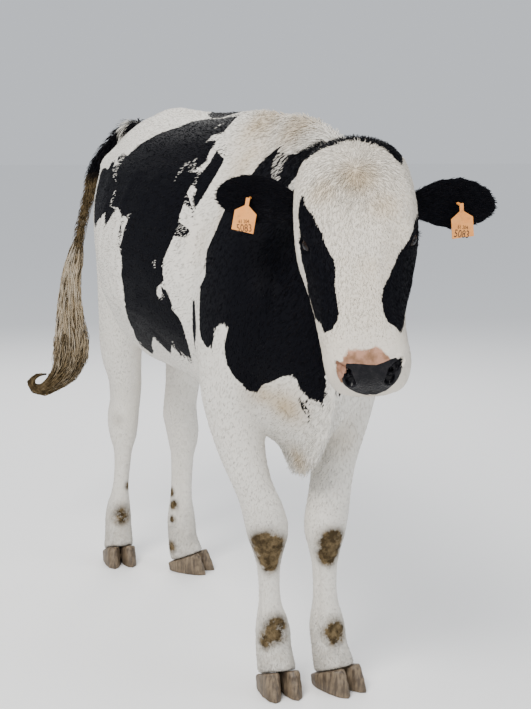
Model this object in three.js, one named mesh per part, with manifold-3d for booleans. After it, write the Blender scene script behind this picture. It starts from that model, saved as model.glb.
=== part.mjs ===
// A young Holstein dairy cow, standing, at life size. Millimetres, +Z up.
// The cow faces -Y and her left side is +X. The floor is z = 0.
import * as THREE from "three";
import { mergeVertices } from "three/addons/utils/BufferGeometryUtils.js";
import Module from "manifold-3d";

// ---------------------------------------------------------------- driving sizes
const GAP = 0.35; // clearance between neighbouring pieces
const TIDY = 0.15; // slivers that change the surface by less than this are merged away
const GROUND_SHIFT = [18, -356]; // moves the middle of the fore feet, so that the box is centred
const SIDES = { left: 1, right: -1 };

// The head hangs from the poll: nose line below the horizontal, turn towards her right, tilt.
const POLL = [-78, -362, 1264];
const HEAD_PITCH = 48;
const HEAD_TURN = -22.8;
const HEAD_TILT = -5;

// The spine bends a little: the chest stands to the right of the line from nose pad to tail.
const CHEST_BEND = { by: -22, from: 100, to: 700 };

const MATERIALS = {
  white_hide: new THREE.MeshStandardMaterial({ color: 0xd9d2c4, roughness: 0.85 }),
  black_hide: new THREE.MeshStandardMaterial({ color: 0x15151c, roughness: 0.7 }),
  nose: new THREE.MeshStandardMaterial({ color: 0x1b1c22, roughness: 0.35 }),
  horn: new THREE.MeshStandardMaterial({ color: 0x9c8468, roughness: 0.6 }),
  eye: new THREE.MeshStandardMaterial({ color: 0x0c0a09, roughness: 0.08 }),
  switch_hair: new THREE.MeshStandardMaterial({ color: 0xa08a68, roughness: 0.9 }),
  tag: new THREE.MeshStandardMaterial({ color: 0xe8963c, roughness: 0.5 }),
};

// ---------------------------------------------------------------- solids
const wasm = await Module();
wasm.setup();

// A closed three.js geometry as a manifold-3d solid.
function solidOf(geometry) {
  const bare = geometry.index ? geometry.toNonIndexed() : geometry.clone();
  for (const name of Object.keys(bare.attributes)) {
    if (name !== "position") bare.deleteAttribute(name);
  }
  const merged = mergeVertices(bare, 1e-3);
  return new wasm.Manifold(
    new wasm.Mesh({
      numProp: 3,
      vertProperties: merged.attributes.position.array,
      triVerts: new Uint32Array(merged.index.array),
    }),
  );
}

// The largest closed body of a solid, as a three.js geometry.
function geometryOf(solid) {
  const bodies = solid.decompose().sort((a, b) => b.volume() - a.volume());
  const mesh = bodies[0].simplify(TIDY).getMesh();
  const places = new Float32Array(mesh.numVert * 3);
  for (let i = 0; i < mesh.numVert; i++) {
    places.set(mesh.vertProperties.subarray(i * mesh.numProp, i * mesh.numProp + 3), i * 3);
  }
  return new THREE.BufferGeometry()
    .setAttribute("position", new THREE.BufferAttribute(places, 3))
    .setIndex(new THREE.BufferAttribute(mesh.triVerts, 1));
}

const without = (solid, others) => others.reduce((rest, other) => rest.subtract(other), solid);

// An egg: a sphere stretched to three radii and moved to its place.
function eggSolid([rx, ry, rz], place, { grow = 0, matrix = null, lean = 0, around = 8 } = {}) {
  const egg = new THREE.SphereGeometry(1, around, (around * 3) / 4)
    .scale(rx + grow, ry + grow, rz + grow)
    .rotateX(degrees(lean))
    .translate(...place);
  return solidOf(matrix ? egg.applyMatrix4(matrix) : egg);
}

// ---------------------------------------------------------------- skinning
const degrees = THREE.MathUtils.degToRad;
const UP = new THREE.Vector3(0, 0, 1);
const vector = (place) => new THREE.Vector3(...place);

// Skins a closed body over slices, which are loops with the same number of points. The body
// runs smoothly through the loops; `along` rings are drawn and each has `around` corners.
function skinned(slices, { along = slices.length, around, grow = 0, matrix = null }) {
  const tracks = slices[0].map(
    (_, k) => new THREE.CatmullRomCurve3(slices.map((loop) => loop[k]), false, "centripetal"),
  );
  const places = [];
  const middles = [];
  for (let i = 0; i < along; i++) {
    const loop = tracks.map((track) => track.getPoint(i / (along - 1)));
    const ring = new THREE.CatmullRomCurve3(loop, true, "centripetal");
    const middle = new THREE.Vector3();
    loop.forEach((p) => middle.addScaledVector(p, 1 / loop.length));
    middles.push(middle);
    for (let j = 0; j < around; j++) {
      const p = ring.getPoint(j / around);
      const out = p.clone().sub(middle).normalize();
      places.push(p.addScaledVector(out, grow));
    }
  }
  const last = along - 1;
  const cap = (end, next) => {
    const out = middles[end].clone().sub(middles[next]).normalize();
    return out.multiplyScalar(grow).add(middles[end]);
  };
  places.push(cap(0, 1), cap(last, last - 1));
  const faces = [];
  for (let i = 0; i < last; i++) {
    for (let j = 0; j < around; j++) {
      const a = i * around + j;
      const b = i * around + ((j + 1) % around);
      faces.push(a, b, b + around, a, b + around, a + around);
    }
  }
  for (let j = 0; j < around; j++) {
    const next = (j + 1) % around;
    faces.push(places.length - 2, next, j);
    faces.push(places.length - 1, last * around + j, last * around + next);
  }
  const geometry = new THREE.BufferGeometry().setFromPoints(places).setIndex(faces);
  if (matrix) geometry.applyMatrix4(matrix);
  const solid = solidOf(geometry);
  if (solid.volume() > 0) return solid;
  const turned = [];
  for (let i = 0; i < faces.length; i += 3) turned.push(faces[i], faces[i + 2], faces[i + 1]);
  return solidOf(geometry.setIndex(turned));
}

// A slice that is the same on both sides: half widths at given shares of the way from its
// ridge to its keel, measured across a direction turned by `turn` degrees about +Z.
function slice(ridge, keel, shares, halves, turn = 0) {
  const top = vector(ridge);
  const bottom = vector(keel);
  const across = new THREE.Vector3(1, 0, 0).applyAxisAngle(UP, degrees(turn));
  const level = (i, side) =>
    top.clone().lerp(bottom, shares[i]).addScaledVector(across, side * halves[i]);
  const left = halves.map((_, i) => level(i, 1));
  const right = halves.map((_, i) => level(i, -1)).reverse();
  return [top, ...left, bottom, ...right];
}

// A level slice of a leg: half width, reach to the front and to the back, a little boxy.
const CORNER = 0.74;
function legSlice([x, y, z], half, front, back, turn) {
  const steps = [
    [0, -front],
    [half * CORNER, -front * CORNER],
    [half, 0],
    [half * CORNER, back * CORNER],
    [0, back],
    [-half * CORNER, back * CORNER],
    [-half, 0],
    [-half * CORNER, -front * CORNER],
  ];
  return steps.map(([dx, dy]) =>
    new THREE.Vector3(dx, dy, z).applyAxisAngle(UP, degrees(turn)).add(new THREE.Vector3(x, y, 0)),
  );
}

// A round slice square to a path.
const ROUND = 8;
function roundSlice(place, tangent, radius) {
  const along = tangent.clone().normalize();
  const across = new THREE.Vector3(1, 0, 0).addScaledVector(along, -along.x).normalize();
  const other = new THREE.Vector3().crossVectors(along, across);
  return Array.from({ length: ROUND }, (_, i) => {
    const angle = (2 * Math.PI * i) / ROUND;
    return place
      .clone()
      .addScaledVector(across, radius * Math.cos(angle))
      .addScaledVector(other, radius * Math.sin(angle));
  });
}

// ---------------------------------------------------------------- trunk
// How far back each slice lies, its ridge and keel heights, and its half widths.
const TRUNK_SHARES = [0.06, 0.22, 0.45, 0.7, 0.91];
const TRUNK_SLICES = [
  [-215, 1040, 760, [30, 70, 98, 92, 50]],
  [-160, 1150, 640, [34, 88, 132, 128, 66]],
  [-80, 1262, 580, [34, 92, 158, 160, 76]],
  [20, 1326, 562, [34, 96, 172, 172, 82]],
  [130, 1352, 572, [38, 108, 186, 186, 92]],
  [260, 1350, 606, [56, 150, 214, 212, 112]],
  [400, 1346, 630, [84, 190, 240, 236, 122]],
  [540, 1350, 640, [108, 216, 260, 250, 130]],
  [680, 1362, 646, [110, 216, 266, 248, 138]],
  [790, 1372, 652, [108, 212, 244, 226, 146]],
  [900, 1364, 690, [80, 184, 212, 192, 118]],
  [1020, 1340, 762, [58, 144, 172, 148, 80]],
  [1130, 1300, 822, [54, 120, 132, 120, 72]],
  [1205, 1262, 892, [58, 94, 100, 92, 56]],
  [1250, 1216, 970, [50, 66, 68, 58, 36]],
  [1272, 1160, 1040, [26, 36, 37, 31, 18]],
];
const bendAt = (y) =>
  CHEST_BEND.by * (1 - THREE.MathUtils.smoothstep(y, CHEST_BEND.from, CHEST_BEND.to));
function trunkSolid(grow) {
  const slices = TRUNK_SLICES.map(([y, ridge, keel, halves]) =>
    slice([bendAt(y), y, ridge], [bendAt(y), y, keel], TRUNK_SHARES, halves),
  );
  return skinned(slices, { along: 18, around: 18, grow });
}

// ---------------------------------------------------------------- neck
const NECK_SHARES = [0.08, 0.3, 0.6, 0.88];
const NECK_SLICES = [
  { ridge: [-22, 60, 1336], keel: [-22, -120, 730], halves: [44, 104, 150, 92], turn: 0 },
  { ridge: [-24, -60, 1326], keel: [-24, -196, 790], halves: [44, 98, 132, 76], turn: -3 },
  { ridge: [-32, -160, 1300], keel: [-34, -246, 860], halves: [46, 90, 106, 58], turn: -8 },
  { ridge: [-46, -250, 1266], keel: [-48, -276, 930], halves: [56, 84, 90, 48], turn: -14 },
  { ridge: [-62, -318, 1240], keel: [-54, -286, 1000], halves: [62, 80, 80, 44], turn: -20 },
];
function neckSolid(grow) {
  const slices = NECK_SLICES.map((s) => slice(s.ridge, s.keel, NECK_SHARES, s.halves, s.turn));
  return skinned(slices, { along: 7, around: 14, grow });
}

// ---------------------------------------------------------------- head
// The head's own frame: the poll is the origin, the nose points along -Y and the brow up +Z.
const headMatrix = new THREE.Matrix4()
  .makeTranslation(...POLL)
  .multiply(new THREE.Matrix4().makeRotationZ(degrees(HEAD_TURN)))
  .multiply(new THREE.Matrix4().makeRotationX(degrees(HEAD_PITCH)))
  .multiply(new THREE.Matrix4().makeRotationY(degrees(HEAD_TILT)));

// Distance from the poll, brow line, jaw line, half widths from brow to jaw, and how far the
// slice is shifted to her right.
const HEAD_SHARES = [0.05, 0.24, 0.45, 0.7, 0.92];
const HEAD_SLICES = [
  [24, -24, -150, [44, 62, 64, 54, 32]],
  [-4, 14, -196, [62, 94, 88, 72, 40]],
  [-38, 24, -222, [74, 110, 106, 88, 48], 2],
  [-85, 20, -240, [87, 118, 112, 98, 56], 3],
  [-135, 14, -246, [95, 121, 115, 104, 60], 3],
  [-180, 8, -240, [90, 119, 115, 106, 62], 4],
  [-215, 2, -228, [76, 113, 112, 102, 60], 5],
  [-255, -3, -212, [60, 97, 103, 96, 54], 5],
  [-300, -6, -194, [52, 83, 92, 88, 50], 6],
  [-345, -8, -177, [47, 74, 84, 82, 50], 7],
  [-390, -10, -164, [45, 72, 81, 79, 50], 6],
  [-430, -12, -155, [47, 72, 79, 76, 54], 3],
  [-462, -18, -149, [52, 74, 78, 75, 56]],
  [-488, -34, -141, [52, 71, 75, 70, 52]],
  [-504, -56, -132, [44, 60, 64, 59, 40]],
  [-510, -76, -120, [24, 33, 35, 31, 22]],
];
function headSolid(grow) {
  const slices = HEAD_SLICES.map(([y, brow, jaw, halves, shift = 0]) =>
    slice([-shift, y, brow], [-shift, y, jaw], HEAD_SHARES, halves),
  );
  return skinned(slices, { along: 18, around: 18, grow, matrix: headMatrix });
}

// Eyeball, the ridge of bone round it, and the opening between the lids, on her left side.
const EYE = { radius: 20, at: [88, -208, -50], around: 10 };
const ORBIT = { radii: [24, 42, 32], at: [88, -202, -44], around: 8 };
const LIDS = { radii: [12, 19, 12], at: [109, -218, -45], around: 8 };
const mirrored = ([x, y, z], side) => [side * x, y, z];
const eyeSolid = (side, grow = 0) =>
  eggSolid(Array(3).fill(EYE.radius), mirrored(EYE.at, side), {
    grow,
    matrix: headMatrix,
    around: EYE.around,
  });
const headEgg = ({ radii, at, around }, side) =>
  eggSolid(radii, mirrored(at, side), { matrix: headMatrix, around });

// The bare nose pad is the front of the muzzle down to the upper lip, with two nostrils.
const PAD = { back: -478, low: -110, half: 54 };
const NOSTRIL = { radii: [9, 22, 14], at: [38, -498, -56], around: 6 };
function padBlock(grow) {
  const [wide, deep, high] = [PAD.half + grow, 80 + grow, 120 + grow];
  const block = new THREE.BoxGeometry(2 * wide, deep, high)
    .translate(0, PAD.back + grow - deep / 2, PAD.low - grow + high / 2)
    .applyMatrix4(headMatrix);
  return solidOf(block);
}

// ---------------------------------------------------------------- ears and tags
// The ear's own frame: its root is the origin, it grows along +X and opens towards -Y.
// Distance from the root, upper and lower edge, how deep it is cupped, and wall thickness.
const EAR_SLICES = [
  [-12, 18, -18, 6, 30],
  [20, 22, -20, 12, 24],
  [44, 38, -36, 17, 17],
  [74, 52, -48, 20, 12],
  [106, 55, -53, 20, 10],
  [140, 49, -48, 16, 8],
  [168, 32, -36, 10, 7],
  [188, 10, -16, 5, 5],
];
const EAR_ROOT = [92, -62, -126]; // on her left side, in the head's own frame
// Turn of the ear about +Z, lift of its tip, and how far its opening looks down.
const EARS = {
  left: { turn: -13, lift: 0, down: 8, swing: -7 },
  right: { turn: -37, lift: 10, down: 8, swing: -2 },
};
const ACROSS_EAR = [-1, -0.6, 0, 0.6, 1];
function earLoop([x, up, low, cup, wall]) {
  const height = (u) => (up + low) / 2 + (u * (up - low)) / 2;
  const behind = (u) => cup * (1 - u * u);
  const outer = ACROSS_EAR.map(
    (u) => new THREE.Vector3(x, behind(u) + 0.5 * wall * (1 - Math.abs(u)), height(u)),
  );
  const inner = ACROSS_EAR.slice(1, -1)
    .reverse()
    .map((u) => new THREE.Vector3(x, behind(u) - 0.5 * wall, height(u)));
  return [...outer, ...inner];
}
function earMatrixOf(name) {
  const side = SIDES[name];
  const { turn, lift, down } = EARS[name];
  const root = vector(mirrored(EAR_ROOT, side)).applyMatrix4(headMatrix);
  return new THREE.Matrix4()
    .makeTranslation(...root)
    .multiply(new THREE.Matrix4().makeRotationZ(degrees(turn)))
    .multiply(new THREE.Matrix4().makeScale(side, 1, 1))
    .multiply(new THREE.Matrix4().makeRotationY(degrees(-lift)))
    .multiply(new THREE.Matrix4().makeRotationX(degrees(down)));
}

// A flag tag hangs in front of the ear from a stem riveted through it to a button behind.
const TAG = { width: 46, shoulder: 26, height: 40, neck: 8, neckLength: 12, thick: 2.6 };
const STEM = { along: 124, height: -1, radius: 3, front: -9, back: 27 };
const BUTTON = { radius: 13, thick: 3 };
function stemSolid(grow) {
  const length = STEM.back - STEM.front + 2 * grow;
  const stem = new THREE.CylinderGeometry(STEM.radius + grow, STEM.radius + grow, length, 10);
  return solidOf(stem.translate(0, (STEM.front + STEM.back) / 2, 0));
}
function tagSolid(swing) {
  const { width, shoulder, height, neck, neckLength, thick } = TAG;
  const outline = new THREE.Shape();
  outline.moveTo(neck / 2, neck / 2);
  outline.lineTo(-neck / 2, neck / 2);
  outline.lineTo(-neck / 2, -neckLength);
  outline.lineTo(-width / 2, -shoulder);
  outline.lineTo(-width / 2, -shoulder - height);
  outline.lineTo(width / 2, -shoulder - height);
  outline.lineTo(width / 2, -shoulder);
  outline.lineTo(neck / 2, -neckLength);
  const plate = new THREE.ExtrudeGeometry(outline, { depth: thick, bevelEnabled: false })
    .rotateX(Math.PI / 2)
    .rotateY(degrees(swing))
    .translate(0, STEM.front + thick, 0);
  const button = new THREE.CylinderGeometry(BUTTON.radius, BUTTON.radius, BUTTON.thick, 16);
  return solidOf(plate)
    .add(stemSolid(0))
    .add(solidOf(button.translate(0, STEM.back - BUTTON.thick / 2, 0)));
}
const moved = (solid, matrix) => solid.transform(matrix.elements);

// ---------------------------------------------------------------- legs
// Height, half width, reach forwards and reach back of each slice.
const FORE_SLICES = [
  [1250, 12, 34, 34],
  [1150, 42, 120, 110],
  [1050, 52, 160, 150],
  [950, 58, 170, 168],
  [850, 62, 148, 156],
  [760, 64, 112, 122],
  [690, 64, 88, 96],
  [620, 61, 72, 74],
  [560, 55, 60, 60],
  [505, 50, 55, 54],
  [455, 51, 54, 52],
  [405, 53, 53, 50],
  [370, 49, 49, 48],
  [335, 37, 40, 43],
  [300, 28, 33, 38],
  [250, 25, 31, 36],
  [212, 27, 33, 37],
  [180, 35, 37, 43],
  [145, 42, 42, 47],
  [108, 43, 42, 46],
  [76, 45, 52, 50],
  [46, 47, 62, 54],
  [20, 44, 58, 50],
];
const HIND_SLICES = [
  [1225, 30, 70, 70],
  [1130, 56, 150, 150],
  [1020, 66, 190, 192],
  [920, 66, 195, 192],
  [830, 64, 165, 178],
  [750, 60, 128, 142],
  [690, 58, 100, 112],
  [630, 58, 80, 82],
  [565, 50, 60, 64],
  [505, 46, 54, 64],
  [470, 48, 54, 66],
  [430, 48, 52, 56],
  [390, 42, 46, 48],
  [350, 29, 38, 40],
  [300, 25, 36, 38],
  [250, 24, 35, 38],
  [215, 28, 36, 40],
  [180, 36, 39, 44],
  [145, 41, 42, 47],
  [108, 42, 42, 46],
  [76, 44, 52, 50],
  [46, 46, 60, 54],
  [20, 43, 56, 50],
];
// Where the middle of each of those slices stands, and how far the foot is turned.
const STANCE = {
  right_fore: {
    turn: -8,
    middles: [
      [-82, 120], [-112, 86], [-148, 40], [-166, 10], [-172, 8], [-170, 22], [-166, 30],
      [-156, 24], [-144, 18], [-126, 14], [-103, 12], [-89, 12], [-85, 13], [-83, 15],
      [-81, 18], [-78, 20], [-76, 20], [-71, 20], [-69, 18], [-69, 15], [-66, 12],
      [-62, 10], [-61, 12],
    ],
  },
  left_fore: {
    turn: 14,
    middles: [
      [38, 120], [68, 86], [104, 40], [122, 10], [126, 4], [122, 8], [112, 6],
      [94, -4], [76, -12], [63, -18], [55, -20], [47, -20], [45, -20], [46, -19],
      [47, -18], [48, -18], [50, -18], [53, -18], [55, -19], [58, -22], [64, -24],
      [70, -26], [72, -24],
    ],
  },
  right_hind: {
    turn: -8,
    middles: [
      [-80, 1000], [-84, 1000], [-82, 1000], [-85, 985], [-92, 975], [-94, 998],
      [-92, 1028], [-82, 1054], [-64, 1076], [-59, 1094], [-64, 1098], [-67, 1098],
      [-67, 1098], [-68, 1098], [-72, 1098], [-76, 1100], [-80, 1100], [-85, 1100],
      [-87, 1100], [-87, 1098], [-87, 1098], [-87, 1100], [-87, 1104],
    ],
  },
  left_hind: {
    turn: 38,
    middles: [
      [80, 996], [84, 992], [82, 985], [85, 966], [92, 950], [94, 955],
      [92, 955], [84, 956], [75, 960], [68, 960], [68, 958], [72, 955],
      [72, 952], [69, 950], [66, 948], [64, 948], [63, 947], [63, 946],
      [63, 944], [64, 942], [68, 940], [74, 938], [78, 936],
    ],
  },
};
const LEG_PAIRS = {
  fore: { slices: FORE_SLICES, joint: 455, fetlock: 185 },
  hind: { slices: HIND_SLICES, joint: 565, fetlock: 195 },
};
const TURN_FROM = 640; // the leg is turned wholly below TURN_TO and not at all above this height
const TURN_TO = 300;
const pairOf = (name) => LEG_PAIRS[name.split("_")[1]];
function legSolid(name, grow = 0) {
  const { turn, middles } = STANCE[name];
  const slices = pairOf(name).slices.map(([z, half, front, back], i) => {
    const share = 1 - THREE.MathUtils.smoothstep(z, TURN_TO, TURN_FROM);
    return legSlice([...middles[i], z], half, front, back, turn * share);
  });
  return skinned(slices, { around: 12, grow });
}

// ---------------------------------------------------------------- feet
// One claw of the cloven hoof, in the foot's own frame: height, sideways middle, half width,
// toe and heel.
const CLAW_ROWS = [
  [0, 25.5, 22.5, -84, 42],
  [24, 25, 23, -76, 47],
  [50, 24.5, 22.5, -64, 50],
  [84, 24, 21, -46, 48],
];
const CLAW_LOOP = [
  [0.1, -1], [0.75, -0.72], [1, -0.2], [1, 0.45], [0.6, 0.93],
  [-0.35, 1], [-0.9, 0.8], [-1, 0.2], [-0.95, -0.45], [-0.5, -0.86],
];
function clawSolid(side) {
  const loops = CLAW_ROWS.map(([z, x, half, toe, heel]) => {
    const mid = (toe + heel) / 2;
    const reach = (heel - toe) / 2;
    return CLAW_LOOP.map(([u, v]) => new THREE.Vector3(side * (x + u * half), mid + v * reach, z));
  });
  return skinned(loops, { around: 10 });
}
// The hairline on a foot: its height at the toe, how far ahead that is, and its fall to the heel.
const CORONET = { height: 66, ahead: 60, fall: 22 };
const coronetNormal = new THREE.Vector3(0, 1, 0).applyAxisAngle(
  new THREE.Vector3(1, 0, 0),
  degrees(90 - CORONET.fall),
);
const coronetOffset = coronetNormal.dot(new THREE.Vector3(0, -CORONET.ahead, CORONET.height));
const DEWCLAW = { spread: 20, back: 42, height: 122, radii: [10, 11, 17], lean: 24, around: 7 };

// ---------------------------------------------------------------- tail
// Places along the tail, from inside the rump to the curled tip, and its radius there.
const TAIL_ROWS = [
  [0, 1060, 1290, 32],
  [0, 1130, 1313, 32],
  [-6, 1190, 1306, 32],
  [-20, 1240, 1282, 32],
  [-46, 1276, 1244, 31],
  [-72, 1294, 1200, 29],
  [-86, 1302, 1158, 26],
  [-92, 1305, 1126, 23],
  [-105, 1308, 1086, 20],
  [-118, 1312, 1033, 19],
  [-128, 1315, 978, 19],
  [-141, 1318, 922, 22],
  [-155, 1320, 860, 27],
  [-161, 1320, 797, 31],
  [-161, 1320, 734, 38],
  [-156, 1320, 671, 49],
  [-161, 1320, 617, 52],
  [-178, 1320, 570, 42],
  [-211, 1320, 535, 27],
  [-250, 1320, 509, 18],
  [-282, 1320, 518, 14],
  [-294, 1320, 544, 10],
  [-271, 1320, 564, 7],
  [-233, 1320, 562, 4],
];
const SWITCH_Z = 905; // the long hair begins below this height
function tailSolid(grow = 0) {
  const path = TAIL_ROWS.map((row) => vector(row));
  const slices = path.map((place, i) => {
    const before = path[Math.max(i - 1, 0)];
    const after = path[Math.min(i + 1, path.length - 1)];
    return roundSlice(place, after.clone().sub(before), TAIL_ROWS[i][3]);
  });
  return skinned(slices, { around: 8, grow });
}

// ---------------------------------------------------------------- dewlap and udder
// The loose fold of skin under the throat and between the fore legs: its line on the body, how
// far it hangs, and its half widths.
const DEWLAP_SHARES = [0.2, 0.5, 0.82];
const DEWLAP_SLICES = [
  { ridge: [-46, -215, 960], keel: [-48, -262, 920], halves: [16, 12, 6] },
  { ridge: [-36, -160, 850], keel: [-38, -236, 786], halves: [24, 18, 10] },
  { ridge: [-28, -110, 740], keel: [-30, -196, 650], halves: [32, 24, 14] },
  { ridge: [-28, -50, 640], keel: [-30, -112, 548], halves: [34, 26, 14] },
  { ridge: [-26, 10, 600], keel: [-31, -24, 510], halves: [26, 17, 9] },
  { ridge: [-24, 60, 600], keel: [-24, 44, 548], halves: [24, 16, 8] },
];
function dewlapSolid() {
  const slices = DEWLAP_SLICES.map((s) => slice(s.ridge, s.keel, DEWLAP_SHARES, s.halves));
  return skinned(slices, { along: 8, around: 12 });
}

const UDDER = { at: [0, 900, 738], radii: [74, 100, 58] };
const TEAT = { spread: 32, fore: 850, rear: 926, radius: 11, length: 30, sunk: 50 };
function udderSolid() {
  let udder = eggSolid(UDDER.radii, UDDER.at);
  for (const side of Object.values(SIDES)) {
    for (const y of [TEAT.fore, TEAT.rear]) {
      const teat = new THREE.CapsuleGeometry(TEAT.radius, TEAT.length, 2, 6)
        .rotateX(Math.PI / 2)
        .translate(side * TEAT.spread, y, UDDER.at[2] - TEAT.sunk);
      udder = udder.add(solidOf(teat));
    }
  }
  return udder;
}

// ---------------------------------------------------------------- assembly
const pieces = [];
const keep = (name, solid, material) => pieces.push({ name, solid, material });
const above = (solid, height) => solid.trimByPlane([0, 0, 1], height + GAP / 2);
const below = (solid, height) => solid.trimByPlane([0, 0, -1], -(height - GAP / 2));

const legsGrown = Object.keys(STANCE).map((name) => legSolid(name, GAP));
const trunkGrown = trunkSolid(GAP);
const neckGrown = neckSolid(GAP);
const headGrown = headSolid(GAP);
const tailGrown = tailSolid(GAP);

for (const name of Object.keys(STANCE)) {
  const { joint, fetlock } = pairOf(name);
  const { turn, middles } = STANCE[name];
  const whole = legSolid(name);
  keep(`${name}_upper_leg`, above(whole, joint), "white_hide");
  keep(`${name}_lower_leg`, above(below(whole, joint), fetlock), "white_hide");

  // The foot is finished in its own frame, which stands on the floor and is turned with it.
  const footMatrix = new THREE.Matrix4()
    .makeRotationZ(degrees(turn))
    .setPosition(...middles.at(-2), 0);
  const grown = moved(legSolid(name, GAP), footMatrix.clone().invert());
  const pastern = moved(below(whole, fetlock), footMatrix.clone().invert());
  const hairline = coronetNormal.toArray();
  const under = coronetNormal.clone().negate().toArray();
  keep(
    `${name}_foot`,
    moved(pastern.trimByPlane(hairline, coronetOffset + GAP / 2), footMatrix),
    "white_hide",
  );
  for (const [half, side] of Object.entries(SIDES)) {
    const claw = clawSolid(side).trimByPlane(under, GAP / 2 - coronetOffset);
    keep(`${name}_${half}_claw`, moved(claw, footMatrix), "horn");
    const place = [side * DEWCLAW.spread, DEWCLAW.back, DEWCLAW.height];
    const { radii, lean, around } = DEWCLAW;
    const dewclaw = eggSolid(radii, place, { lean, around });
    keep(`${name}_${half}_dewclaw`, moved(dewclaw.subtract(grown), footMatrix), "horn");
  }
}

// Shoulders and thighs lie over the trunk, which makes room for them and for the tail.
keep("trunk", without(trunkSolid(0), [...legsGrown, tailGrown]), "black_hide");
keep("neck", without(neckSolid(0), [...legsGrown, trunkGrown, headGrown]), "black_hide");
const dewlapRoom = [...legsGrown, trunkGrown, neckGrown, headGrown];
keep("dewlap", without(dewlapSolid(), dewlapRoom), "white_hide");
keep("udder", without(udderSolid(), [...legsGrown, trunkGrown]), "white_hide");
keep("tail_dock", above(tailSolid(), SWITCH_Z), "black_hide");
keep("tail_switch", below(tailSolid(), SWITCH_Z), "switch_hair");

let head = headSolid(0);
for (const side of Object.values(SIDES)) head = head.add(headEgg(ORBIT, side));
for (const [name, side] of Object.entries(SIDES)) {
  head = without(head, [eyeSolid(side, GAP), headEgg(LIDS, side), headEgg(NOSTRIL, side)]);
  keep(`${name}_eye`, eyeSolid(side), "eye");
}
keep("nose_pad", head.intersect(padBlock(0)), "nose");
keep("head", head.subtract(padBlock(GAP)), "white_hide");

for (const name of Object.keys(SIDES)) {
  const earMatrix = earMatrixOf(name);
  const tagMatrix = earMatrix
    .clone()
    .multiply(new THREE.Matrix4().makeTranslation(STEM.along, 0, STEM.height));
  const ear = skinned(EAR_SLICES.map(earLoop), { around: 14, matrix: earMatrix });
  keep(`${name}_ear`, without(ear, [headGrown, neckGrown, moved(stemSolid(GAP), tagMatrix)]), "black_hide");
  keep(`${name}_ear_tag`, moved(tagSolid(EARS[name].swing), tagMatrix), "tag");
}

const cow = new THREE.Group();
cow.name = "cow";
cow.position.set(...GROUND_SHIFT, 0);
for (const { name, solid, material } of pieces) {
  const mesh = new THREE.Mesh(geometryOf(solid), MATERIALS[material]);
  mesh.name = name;
  cow.add(mesh);
}

export default cow;
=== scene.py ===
# %% [markdown]
# # A young dairy cow, life size
# She is a black and white heifer, standing with her head lowered and turned a little.
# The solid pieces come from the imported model. Over them goes one skin, with the folds,
# lids and nostrils pressed into it, then the eyes, claws and tags, and last the coat,
# which is made of many thousands of small solid locks of hair.

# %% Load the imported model
import math

import bmesh
import bpy
import numpy as np
from mathutils import Matrix, Vector
from mathutils.bvhtree import BVHTree


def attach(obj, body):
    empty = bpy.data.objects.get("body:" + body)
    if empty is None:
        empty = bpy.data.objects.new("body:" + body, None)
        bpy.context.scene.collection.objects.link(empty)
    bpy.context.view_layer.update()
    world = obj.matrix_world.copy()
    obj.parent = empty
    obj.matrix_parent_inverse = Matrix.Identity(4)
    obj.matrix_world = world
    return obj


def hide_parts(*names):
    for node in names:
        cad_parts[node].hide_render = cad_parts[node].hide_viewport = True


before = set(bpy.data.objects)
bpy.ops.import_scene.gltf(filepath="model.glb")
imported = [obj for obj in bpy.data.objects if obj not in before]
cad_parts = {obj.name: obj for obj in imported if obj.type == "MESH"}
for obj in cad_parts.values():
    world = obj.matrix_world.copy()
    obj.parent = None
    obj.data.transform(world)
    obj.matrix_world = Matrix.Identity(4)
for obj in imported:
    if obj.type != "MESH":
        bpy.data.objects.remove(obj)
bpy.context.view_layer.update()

LEGS = ("right_fore", "left_fore", "right_hind", "left_hind")

# %% [markdown]
# ## Camera
# She is seen from the right and the front, from about the height of her back. A lens of
# 66 mm on a 36 mm frame keeps the head large without making the hind legs tiny.

# %% Place the camera
PICTURE = (531, 709)
FOCAL_PIXELS = 1300.0
LENS_AT = Vector((-1.283, -2.963, 1.233))
LOOK_DOWN, LOOK_ASIDE = math.radians(8.64), math.radians(-24.8)

camera_data = bpy.data.cameras.new("camera")
camera_data.sensor_width = 36.0
camera_data.lens = FOCAL_PIXELS / PICTURE[1] * camera_data.sensor_width
camera = bpy.data.objects.new("camera", camera_data)
camera.location = LENS_AT
camera.rotation_euler = (math.pi / 2 - LOOK_DOWN, 0, LOOK_ASIDE)
bpy.context.scene.collection.objects.link(camera)
bpy.context.scene.camera = camera
camera_turn = camera.rotation_euler.to_matrix()


def sight_line(pixel):
    """The direction from the lens through a point of the picture."""
    across, down = pixel
    ray = Vector((across - PICTURE[0] / 2, PICTURE[1] / 2 - down, -FOCAL_PIXELS))
    return (camera_turn @ ray).normalized()


print("lens", round(camera_data.lens, 1), "mm")

# %% [markdown]
# ## Floor and light
# A plain pale floor that curves up behind her would do, but one flat sheet under an even
# pale sky is simpler and hides nothing. A large soft lamp from the upper left gives form,
# a weaker one opposite opens the shadows, and a rim lamp behind lifts the dark patches.

# %% Make the floor and the lamps
def finished(name, bm, smooth=True):
    """Turns a bmesh into an object at the origin."""
    mesh = bpy.data.meshes.new(name)
    bm.to_mesh(mesh)
    bm.free()
    mesh.shade_smooth() if smooth else mesh.shade_flat()
    obj = bpy.data.objects.new(name, mesh)
    bpy.context.scene.collection.objects.link(obj)
    return obj


bm = bmesh.new()
bmesh.ops.create_grid(bm, x_segments=1, y_segments=1, size=200)
floor = finished("floor", bm, smooth=False)

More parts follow.
